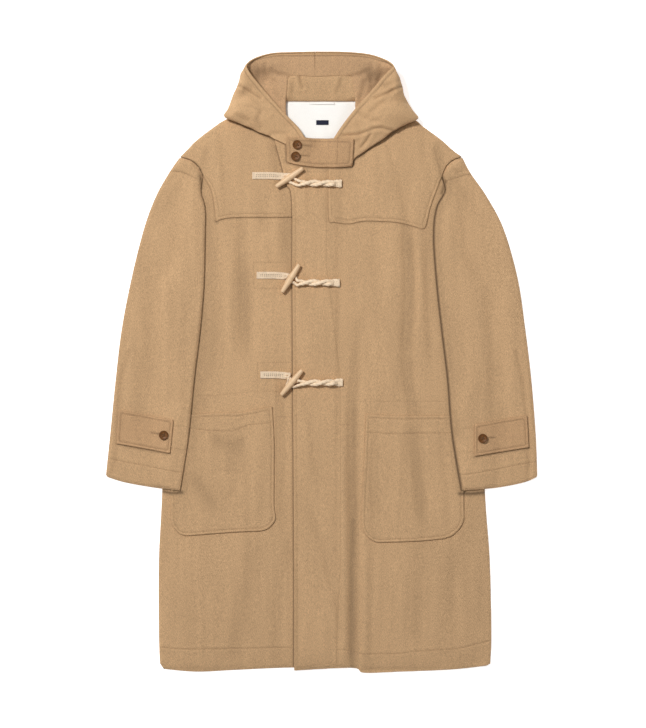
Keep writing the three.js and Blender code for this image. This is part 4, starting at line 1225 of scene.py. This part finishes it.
def hood_half(side, sections):
    """Returns the piece and its grid of points, from the seam to the rim in each row."""
    shares = np.concatenate([np.linspace(0, 1 - RIM_STEPS[-1] - 0.012, 84), 1 - np.array(RIM_STEPS[::-1])])
    lines = np.array([evenly(hood_section(row), shares) for row in sections])
    rows = np.array([centripetal(lines[:, k], 16) for k in range(lines.shape[1])]).transpose(1, 0, 2)
    thick = np.full(rows.shape[:2], CLOTH / 2)
    n = normals_of(rows)
    n *= math.copysign(1, n[:, 60:75, 2].mean())
    x, y = rows[:, :, 0].ravel(), rows[:, :, 1].ravel()
    facing = ramp(np.abs(n[:, :, 2]) * 3 - 0.3)
    outer = relief(HOOD_CREASES, x, y).reshape(facing.shape)
    inner = relief(INSIDE_CREASES, x, y).reshape(facing.shape)
    rise = np.where(n[:, :, 2] > 0, outer, -inner) * facing
    rim_away = np.linalg.norm(rows - rows[:, -1:], axis=2)
    rise += -0.8 * np.exp(-((rim_away - RIM_HEM) / 1.1) ** 2) + 0.7 * np.exp(-((rim_away - 3.4) / 2.2) ** 2)
    along = np.cumsum(np.linalg.norm(np.diff(rows[:, -1], axis=0, prepend=rows[:1, -1]), axis=1))[:, None]
    rise += 0.3 * wobble(along, 4.2) * np.exp(-((rim_away - RIM_HEM) / 5) ** 2)
    rows = rows + n * rise[:, :, None]
    for k, share in ((-1, 0.12), (-2, 0.62), (-3, 0.86), (-4, 0.97), (0, 0.3), (1, 0.9)):
        thick[:, k] *= share
    # Painted shade on the hood: darker in its creases, in the corners and folds inside it, and along the rim's
    # stitched groove; the outside also takes the piece's tone shift.
    dark = np.where(n[:, :, 2] > 0, seam_shade(HOOD_CREASES, x, y).reshape(facing.shape),
                    seam_shade(INSIDE_CREASES, x, y).reshape(facing.shape))
    for middle_x, middle_y, reach, amount in INSIDE_SHADE:
        away = np.hypot(rows[:, :, 0] - middle_x, rows[:, :, 1] - middle_y)
        dark += np.where(n[:, :, 2] > 0, 0, amount * np.exp(-((away / reach) ** 2)))
    dark = np.maximum(dark, RIM_SHADE * np.exp(-((rim_away - RIM_HEM) / 1.2) ** 2))
    dark += np.where(n[:, :, 2] > 0, TONES_AND_PAINTED_LIGHT[f"hood_{side}"], 0)
    points, faces = sheet_mesh(rows, thick)
    piece = make_object(f"hood_{side}_cloth", points, faces, wool_hood, "wool", np.tile(dark.ravel(), 2))
    piece.data.materials.append(wool_inside)
    within_hood = np.tile(((n[:, :, 2] < 0) & (rim_away > RIM_HEM - 0.5)).ravel(), 2)
    for face in piece.data.polygons:
        if within_hood[list(face.vertices)].all():
            face.material_index = 1
    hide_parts(f"hood_{side}")
    return piece, rows, n


hood = {}
for side, sections in (("right", HOOD_RIGHT), ("left", HOOD_LEFT)):
    piece, rows, n = hood_half(side, sections)
    hood[side] = rows
    ground = np.maximum(ground, spread(splat(rows, CLOTH / 2), 2 * CELL))
    inner_line = np.array([row[np.argmin(np.abs(np.linalg.norm(row - row[-1], axis=1) - 7))] for row in rows])
    normal_line = np.array([m[np.argmin(np.abs(np.linalg.norm(row - row[-1], axis=1) - 7))]
                            for row, m in zip(rows, n)])
    for a, b in zip(*(spaced(inner_line + normal_line * (CLOTH / 2), STITCH["spacing"])[s]
                      for s in (slice(None, -1), slice(1, None)))):
        threads.append((a, b, None))

band_piece = neck_band(band, np.vstack([hood["right"][:, 0], hood["left"][::-1, 0]]))


# Throat tab

tab_outline = rounded(THROAT_TAB)
tab_seams = [*SEAMS_THROAT, (hem_line(tab_outline, 6.5), TAB_SEAM)]
tab_seams += [(np.array(hole, float).reshape(2, 2), HOLE_SEAM) for hole in THROAT_HOLES]
add_flat("throat_tab", tab_outline, ["hood_right", "hood_left"], material=wool_tab, soft=7.0,
         folds=FOLDS_THROAT, edge=3.0, hover=2.0, seams=tab_seams)


# Stitches

def stitch_mesh(rows, radius=STITCH["radius"]):
    """One joined mesh of small stitches, each a short rounded thread."""
    points, faces = [], []
    share = STITCH["length"] / STITCH["spacing"]
    for a, b, top in rows:
        if top is None:
            start, end = a, b
        else:
            under, thickness, seams = top
            xy = np.array([a, b])
            z = sample(under, *xy.T) + thickness - 0.35
            start, end = (np.array([*p, h]) for p, h in zip(xy, z))
        start, end = mix(start, end, (1 - share) / 2), mix(start, end, (1 + share) / 2)
        along = end - start
        length = np.linalg.norm(along)
        if length < 0.5:
            continue
        along /= length
        across = np.cross(along, (0, 0, 1.0))
        across /= max(np.linalg.norm(across), 1e-6)
        up = np.cross(across, along)
        base = len(points)
        points.append(start - up * radius)
        for t in (0.22, 0.78):
            centre = mix(start, end, t) + up * 0.12
            for side, lift in ((1, 0), (0, 1), (-1, 0), (0, -1)):
                points.append(centre + across * radius * side + up * radius * lift)
        points.append(end - up * radius)
        for k in range(4):
            m = (k + 1) % 4
            faces.append((base, base + 1 + m, base + 1 + k))
            faces.append((base + 1 + k, base + 1 + m, base + 5 + m, base + 5 + k))
            faces.append((base + 9, base + 5 + k, base + 5 + m))
    return np.array(points), faces


# Buttons

def button(name, x, y, z, replaced):
    radius, height = BUTTON["radius"], BUTTON["height"]
    segments = 56
    angles = np.linspace(0, 2 * math.pi, segments, endpoint=False)
    circle = np.column_stack([np.cos(angles), np.sin(angles)])
    hole_angles = np.linspace(0, 2 * math.pi, 12, endpoint=False)
    small = np.column_stack([np.cos(hole_angles), np.sin(hole_angles)]) * BUTTON["hole"]
    holes = [small + np.array([i, j]) * BUTTON["pitch"] for i in (-1, 1) for j in (-1, 1)]
    shares = (0.99, 0.97, 0.94, 0.9, 0.86, 0.82, 0.78, 0.74, 0.68, 0.62, 0.56, 0.46, 0.2)
    inner = np.vstack([circle * radius * s for s in shares] + [[[0.0, 0.0]]])
    for hole in holes:
        middle = hole.mean(axis=0)
        inner = inner[np.hypot(*(inner - middle).T) > BUTTON["hole"] + 0.35]
    flat_points = [Vector(p) for p in np.vstack([circle * radius, *holes, inner])]
    loops = [(k, (k + 1) % segments) for k in range(segments)]
    for number in range(4):
        start = segments + 12 * number
        loops += [(start + k, start + (k + 1) % 12) for k in range(12)]
    flat, _, tris, *_ = geometry.delaunay_2d_cdt(flat_points, loops, [], 1, 1e-6, False)
    flat = np.array([tuple(p) for p in flat])
    middles = [hole.mean(axis=0) for hole in holes]
    tris = [tuple(t) for t in tris
            if all(np.hypot(*(flat[list(t)].mean(axis=0) - m)) > BUTTON["hole"] * 0.93 for m in middles)]
    r = np.hypot(*flat.T) / radius
    profile = ((0, 0.56), (0.45, 0.56), (0.56, 0.6), (0.62, 0.7), (0.68, 0.68), (0.74, 0.72), (0.82, 0.9),
               (0.9, 1.0), (0.95, 0.96), (0.98, 0.82), (1.0, 0.55))
    top = np.interp(r, *zip(*profile)) * height
    low = np.interp(r, (0, 0.7, 0.9, 1.0), (0.0, 0.0, 0.12, 0.5)) * height
    count = len(flat)
    points = np.vstack([np.column_stack([flat, top]), np.column_stack([flat, low])])
    used = {}
    for a, b, c in tris:
        for edge in ((a, b), (b, c), (c, a)):
            used[edge] = True
    walls = [(a, b) for a, b in used if (b, a) not in used]
    faces = list(tris) + [(a + count, c + count, b + count) for a, b, c in tris]
    faces = outward(points, faces + [(b, a, a + count, b + count) for a, b in walls])
    piece = make_object(name, points, faces, horn, "button")
    piece.location = Vector((x, y, z)) * MM
    piece.rotation_euler = (0, 0, math.radians(18))
    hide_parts(replaced)
    lines = []
    for (i0, j0), (i1, j1) in (((-1, -1), (1, 1)), ((-1, 1), (1, -1))):
        lines.append(np.array([(i0, j0), (i1, j1)]) * BUTTON["pitch"])
    rings = []
    all_points, all_faces = [], []
    for number, ((ax, ay), (bx, by)) in enumerate(lines):
        path = np.array([(mix(ax, bx, t), mix(ay, by, t),
                          0.56 * height - 2.0 * abs(2 * t - 1) ** 8 + 0.3 + 0.35 * number * (1 - abs(2 * t - 1)))
                         for t in np.linspace(0, 1, 17)])
        across = np.array([-(by - ay), bx - ax, 0.0])
        across /= np.linalg.norm(across)
        rings = [[p + across * 0.7 * math.cos(q) + np.array([0, 0, 0.35]) * math.sin(q)
                  for q in np.linspace(0, 2 * math.pi, 8, endpoint=False)] for p in path]
        p3, f3 = skin(rings)
        all_faces += [tuple(k + len(all_points) for k in f) for f in f3]
        all_points += list(p3)
    sewn = make_object(f"{name}_thread", all_points, all_faces, thread_dark, "button")
    sewn.location = piece.location
    sewn.rotation_euler = piece.rotation_euler
    return piece


BUTTON_REACH = 6.0


def seat(x, y, reach):
    """Height of the highest thing within reach, and a little clearance."""
    step = reach / 3
    return max(float(sample(ground, x + i * step, y + j * step)) for i in range(-3, 4) for j in range(-3, 4)) + GAP


for number, (x, y) in enumerate(THROAT_BUTTONS, 1):
    button(f"button_throat_{number}", x, y, seat(x, y, BUTTON_REACH), f"throat_button_{number}")
for side, x, y in CUFF_BUTTONS:
    button(f"button_cuff_{side}", x, y, seat(x, y, BUTTON_REACH), f"cuff_button_{side}")


# Loop and label on the lining

def flat_strip(name, middle, width, thickness, material, slot, replaced):
    """A narrow band along a line, with rounded sides."""
    middle = spaced(middle, 1.5)
    along = np.gradient(middle, axis=0)
    along /= np.linalg.norm(along, axis=1)[:, None]
    side = np.cross((0, 0, 1.0), along)
    side /= np.linalg.norm(side, axis=1)[:, None]
    up = np.cross(along, side)
    rings = []
    for p, s, u in zip(middle, side, up):
        rings.append([p + s * width / 2 * math.copysign(abs(math.cos(q)) ** 0.35, math.cos(q))
                      + u * thickness / 2 * math.copysign(abs(math.sin(q)) ** 0.6, math.sin(q))
                      for q in np.linspace(0, 2 * math.pi, 20, endpoint=False)])
    points, faces = skin(rings)
    piece = make_object(name, points, faces, material, slot)
    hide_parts(replaced)
    return piece


def on_lining(x, y):
    return float(sample(ground, x, y))


loop_line = [(x, HANGER["y"], on_lining(x, HANGER["y"]) + GAP + z + HANGER["thickness"] / 2)
             for x, z in HANGER_LINE]
loop_piece = flat_strip("hanger_loop_tape", smooth(loop_line, 1.0), HANGER["width"], HANGER["thickness"], cotton,
                        "cotton", "hanger_loop")
label_outline = rounded(LABEL)
label_under = np.maximum(ground, 0) + GAP
label_piece = panel("label_blank", label_outline, label_under, woven, "woven_label", thickness=0.5, pitch=1.5)
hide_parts("label")


# Toggles, tapes and cords

def lathe(name, profile, segments, material, slot):
    """A turned form round the local y."""
    rings = [[(r * math.cos(q), y, -r * math.sin(q)) for q in np.linspace(0, 2 * math.pi, segments, endpoint=False)]
             for r, y in profile]
    points, faces = skin(rings)
    return make_object(name, points, faces, material, slot)


def toggle_profile():
    half = TOGGLE["length"] / 2
    radius, end, groove, narrow = TOGGLE["radius"], TOGGLE["end"], TOGGLE["groove"], TOGGLE["groove_half"]
    rows = [(0.2, half), (end * 0.84, half), (end * 0.96, half - 0.2), (end, half - 0.7)]
    for t in np.linspace(0, 1, 16)[1:]:
        rows.append((mix(end, radius, t ** 0.75), mix(half - 0.7, narrow + 1.2, t)))
    rows += [(radius - 0.15, narrow + 0.5), (groove + 0.1, narrow), (groove, narrow * 0.5), (groove, 0.0)]
    lower = [(r, -y) for r, y in rows[::-1][1:]]
    return rows + lower


def tube(path, radius, segments=20, lobes=0, turn=9.0, squash=None):
    """A round rope along a path. With lobes it has twisted strands, turn apart."""
    path = np.asarray(path, float)
    along = np.gradient(path, axis=0)
    along /= np.linalg.norm(along, axis=1)[:, None]
    place = np.concatenate([[0], np.cumsum(np.linalg.norm(np.diff(path, axis=0), axis=1))])
    side = np.cross(along, (0, 0, 1.0))
    side /= np.maximum(np.linalg.norm(side, axis=1), 1e-6)[:, None]
    up = np.cross(side, along)
    radius = np.broadcast_to(radius, (len(path),))
    flatten = np.ones(len(path)) if squash is None else np.asarray(squash)
    angles = np.linspace(0, 2 * math.pi, segments, endpoint=False)
    rings = []
    for k, p in enumerate(path):
        swell = 1 + (0.11 * np.cos(lobes * angles + 2 * math.pi * place[k] / turn) if lobes else 0)
        r = radius[k] * swell
        wide, high = r * np.cos(angles), r * np.sin(angles) * flatten[k]
        rings.append(p + side[k] * wide[:, None] + up[k] * high[:, None])
    return rings


def joined(parts):
    points, faces = [], []
    for p, f in parts:
        faces += [tuple(k + len(points) for k in face) for face in f]
        points += [tuple(q) for q in p]
    return points, faces


TOGGLE_TILT = math.radians(7)


def fastening(number, row):
    x, y, turn, tape_x, tape_y, cord_x, cord_y = row
    angle = math.radians(turn)
    axis = np.array([math.cos(angle), math.sin(angle), 0.0])
    across = np.array([math.sin(angle), -math.cos(angle), 0.0])
    strand = CORD["strand"]
    tips = [seat(*(np.array([x, y]) + axis[:2] * TOGGLE["length"] * side / 2), 4.0) for side in (-1, 1)]
    z = max(seat(x, y, 3.0) + TOGGLE["radius"] - 0.4, sum(tips) / 2 + TOGGLE["radius"] - 0.6)
    tilt = max(-TOGGLE_TILT, min(TOGGLE_TILT, math.atan2(tips[1] - tips[0], TOGGLE["length"])))
    centre = np.array([x, y, z])
    piece = lathe(f"toggle_{number}_wood", toggle_profile(), 44, wood, "toggle_wood")
    piece.location = Vector(centre * MM)
    piece.rotation_euler = (tilt, 0, angle - math.pi / 2)
    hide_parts(f"toggle_{number}")

    def floor(px, py):
        return seat(px, py, 4.0)

    # Tape: flat and sewn down on the right front, then a rope loop that goes under the toggle
    flat_end = np.array([tape_x, tape_y])
    neck_at = np.array([centre[0] - 6.0, tape_y - 1.5])
    middle = [(mix(flat_end[0], neck_at[0], t), mix(flat_end[1], neck_at[1], ramp(2 * t - 1)))
              for t in np.linspace(0, 1, 9)]
    middle = [(px, py, floor(px, py) + TAPE["thickness"] / 2) for px, py in middle]
    line = smooth(middle, 1.2)
    line[:, 2] = np.maximum(line[:, 2], [floor(px, py) + TAPE["thickness"] / 2 for px, py, _ in line])
    tape = tape_rings(line)
    for offset in (-1.2, 1.6):
        sewn = line[5:-8] + np.array([0.0, offset, TAPE["thickness"] / 2])
        for a, b in zip(spaced(sewn, STITCH["spacing"]), spaced(sewn, STITCH["spacing"])[1:]):
            tape_threads.append((a, b, None))
    low = z - TOGGLE["radius"] - strand * 0.75
    start = line[-1]
    over = centre - axis * 1.0
    loop_path = smooth([
        start + (-6, 1.0, 0.6), start + (2, 3.4, 1.4), over - across * 8 + (0, 0, low - z + 3),
        over - across * 1.0 + (0, 0, low - z), over + across * 4.5 - axis * 3.5 + (0, 0, low - z),
        over - across * 4 - axis * 8 + (0, 0, low - z + 0.5), start + (3, -4.4, 0.8), start + (-6, -2.4, 0.6)], 0.8)
    loop_path[:, 2] = np.maximum(loop_path[:, 2], [floor(px, py) + 2.0 for px, py, _ in loop_path])
    parts = [skin(tape), skin(tube(loop_path, 2.3, 16, 3, 6.0))]
    made = make_object(f"toggle_tape_{number}_twine", *joined(parts), tape_weave, "twine")
    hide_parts(f"toggle_tape_{number}")

    # Cord: a loop under the toggle whose two strands twist about each other and end sewn flat
    end = np.array([cord_x, cord_y])
    first = np.array([centre[0] + (20 if number == 1 else 16), mix(centre[1] - 6, cord_y, 0.85)])
    length = float(np.linalg.norm(end - first))
    flat_from = length - CORD["end_length"]
    paths = []
    for strand_side in (1, -1):
        path = []
        for t in np.linspace(0, 1, 90):
            s = t * length
            flat = float(ramp((s - flat_from + 4) / 8))
            phase = 2 * math.pi * s / CORD["pitch"] + math.pi / 2
            px, py = mix(first, end, t)
            away = mix(CORD["spread"], 2.6, flat)
            swing = away * (math.sin(phase) * (1 - flat) + flat * math.copysign(1, math.sin(phase)))
            lift = away * math.cos(phase) * (1 - flat) * strand_side
            base = floor(px, py) + mix(CORD["spread"] + 0.85 * strand, 0.55 * strand, flat)
            path.append((px, py + strand_side * swing, base + 0.9 * lift))
        paths.append(np.array(path))
    grip = centre + across * 0.0
    top_start, low_start = paths[0][0], paths[1][0]
    link = smooth([
        top_start + (1.5, 0, 0), top_start + (-4, 1.6, 0.3), grip + axis * 6.5 + across * 6 + (0, 0, low - z + 1),
        grip + axis * 5 - across * 3 + (0, 0, low - z), grip - axis * 0.5 - across * 5.5 + (0, 0, low - z - 0.3),
        grip - axis * 5 + across * 1 + (0, 0, low - z), grip - axis * 3.5 + across * 8 + (0, 0, low - z + 0.6),
        low_start + (-4, -1.6, 0.3), low_start + (1.5, 0, 0)], 0.8)
    link[:, 2] = np.maximum(link[:, 2], [floor(px, py) + 2.3 for px, py, _ in link])
    parts = [skin(tube(link, 2.5, 16, 3, 7.0))]
    for path in paths:
        t = np.linspace(0, 1, len(path))
        flat = ramp((t * length - flat_from) / 6)
        swell = mix(1.0, 1.3, flat) * mix(0.82, 1.0, ramp(4 * t))
        parts.append(skin(tube(path, strand * swell, 22, 3, 8.0, mix(1.0, 0.45, flat))))
    made = make_object(f"toggle_cord_{number}_twine", *joined(parts), rope, "twine")
    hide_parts(f"toggle_cord_{number}")


def tape_rings(line):
    along = np.gradient(line, axis=0)
    along[:, 2] = 0
    along /= np.linalg.norm(along, axis=1)[:, None]
    side = np.column_stack([-along[:, 1], along[:, 0], np.zeros(len(line))])
    rings = []
    total = len(line) - 1
    for k, (p, s) in enumerate(zip(line, side)):
        t = k / total
        half = mix(TAPE["width"] / 2, 5.8, float(ramp((t - 0.85) / 0.15)))
        half += 0.22 * math.sin(k * 1.7)
        thick = TAPE["thickness"] / 2 * (1 + 0.5 * float(ramp((t - 0.6) / 0.4)))
        rings.append([p + s * half * math.copysign(abs(math.cos(q)) ** 0.4, math.cos(q))
                      + np.array([0, 0, thick * math.copysign(abs(math.sin(q)) ** 0.7, math.sin(q))])
                      for q in np.linspace(0, 2 * math.pi, 28, endpoint=False)])
    return rings


for number, row in enumerate(FASTENINGS, 1):
    fastening(number, row)

points, faces = stitch_mesh(threads)
make_object("stitching", points, faces, thread, "wool")
points, faces = stitch_mesh(tape_threads, TAPE["stitch"])
make_object("tape_stitching", points, faces, thread_tape, "twine")


# Floor, light and camera

def studio():
    mesh = bpy.data.meshes.new("floor")
    size = 6.0
    mesh.from_pydata([(-size, -size, 0), (size, -size, 0), (size, size, 0), (-size, size, 0)], [], [(0, 1, 2, 3)])
    floor_material, tree, out = shader("floor_white")
    out.inputs["Roughness"].default_value = 0.9
    out.inputs["Specular IOR Level"].default_value = 0.1
    shade = noise(tree, 400.0)
    tinted(tree, out, (0.93, 0.93, 0.93, 1.0), [spread_out(tree, shade, 0.995, 1.0)])
    out.inputs["Emission Color"].default_value = (1, 1, 1, 1)
    out.inputs["Emission Strength"].default_value = 0.62
    mesh.materials.append(floor_material)
    floor_piece = bpy.data.objects.new("floor", mesh)
    floor_piece.location = (0, 0, -0.0005)
    bpy.context.scene.collection.objects.link(floor_piece)

    world = bpy.data.worlds.new("studio")
    bpy.context.scene.world = world
    world.use_nodes = True
    world.node_tree.nodes["Background"].inputs["Color"].default_value = (1.0, 1.0, 1.0, 1.0)
    world.node_tree.nodes["Background"].inputs["Strength"].default_value = 0.26

    for name, place, power, width in (
            ("key", (-1.5, 1.65, 3.4), 132.0, 0.5),
            ("fill", (1.8, -1.0, 2.6), 10.0, 1.6)):
        lamp = bpy.data.lights.new(name, "AREA")
        lamp.energy = power
        lamp.size = width
        lamp_object = bpy.data.objects.new(name, lamp)
        lamp_object.location = place
        aim = Vector((0, 0, 0)) - Vector(place)
        lamp_object.rotation_euler = aim.to_track_quat("-Z", "Y").to_euler()
        bpy.context.scene.collection.objects.link(lamp_object)

    camera = bpy.data.cameras.new("camera")
    camera.sensor_width = 36
    camera.lens = 133.6
    camera.clip_end = 20
    camera_object = bpy.data.objects.new("camera", camera)
    camera_object.location = (0.0026, -0.00185, 5.0)
    bpy.context.scene.collection.objects.link(camera_object)
    bpy.context.scene.camera = camera_object
    bpy.context.scene.view_settings.view_transform = "Standard"


studio()
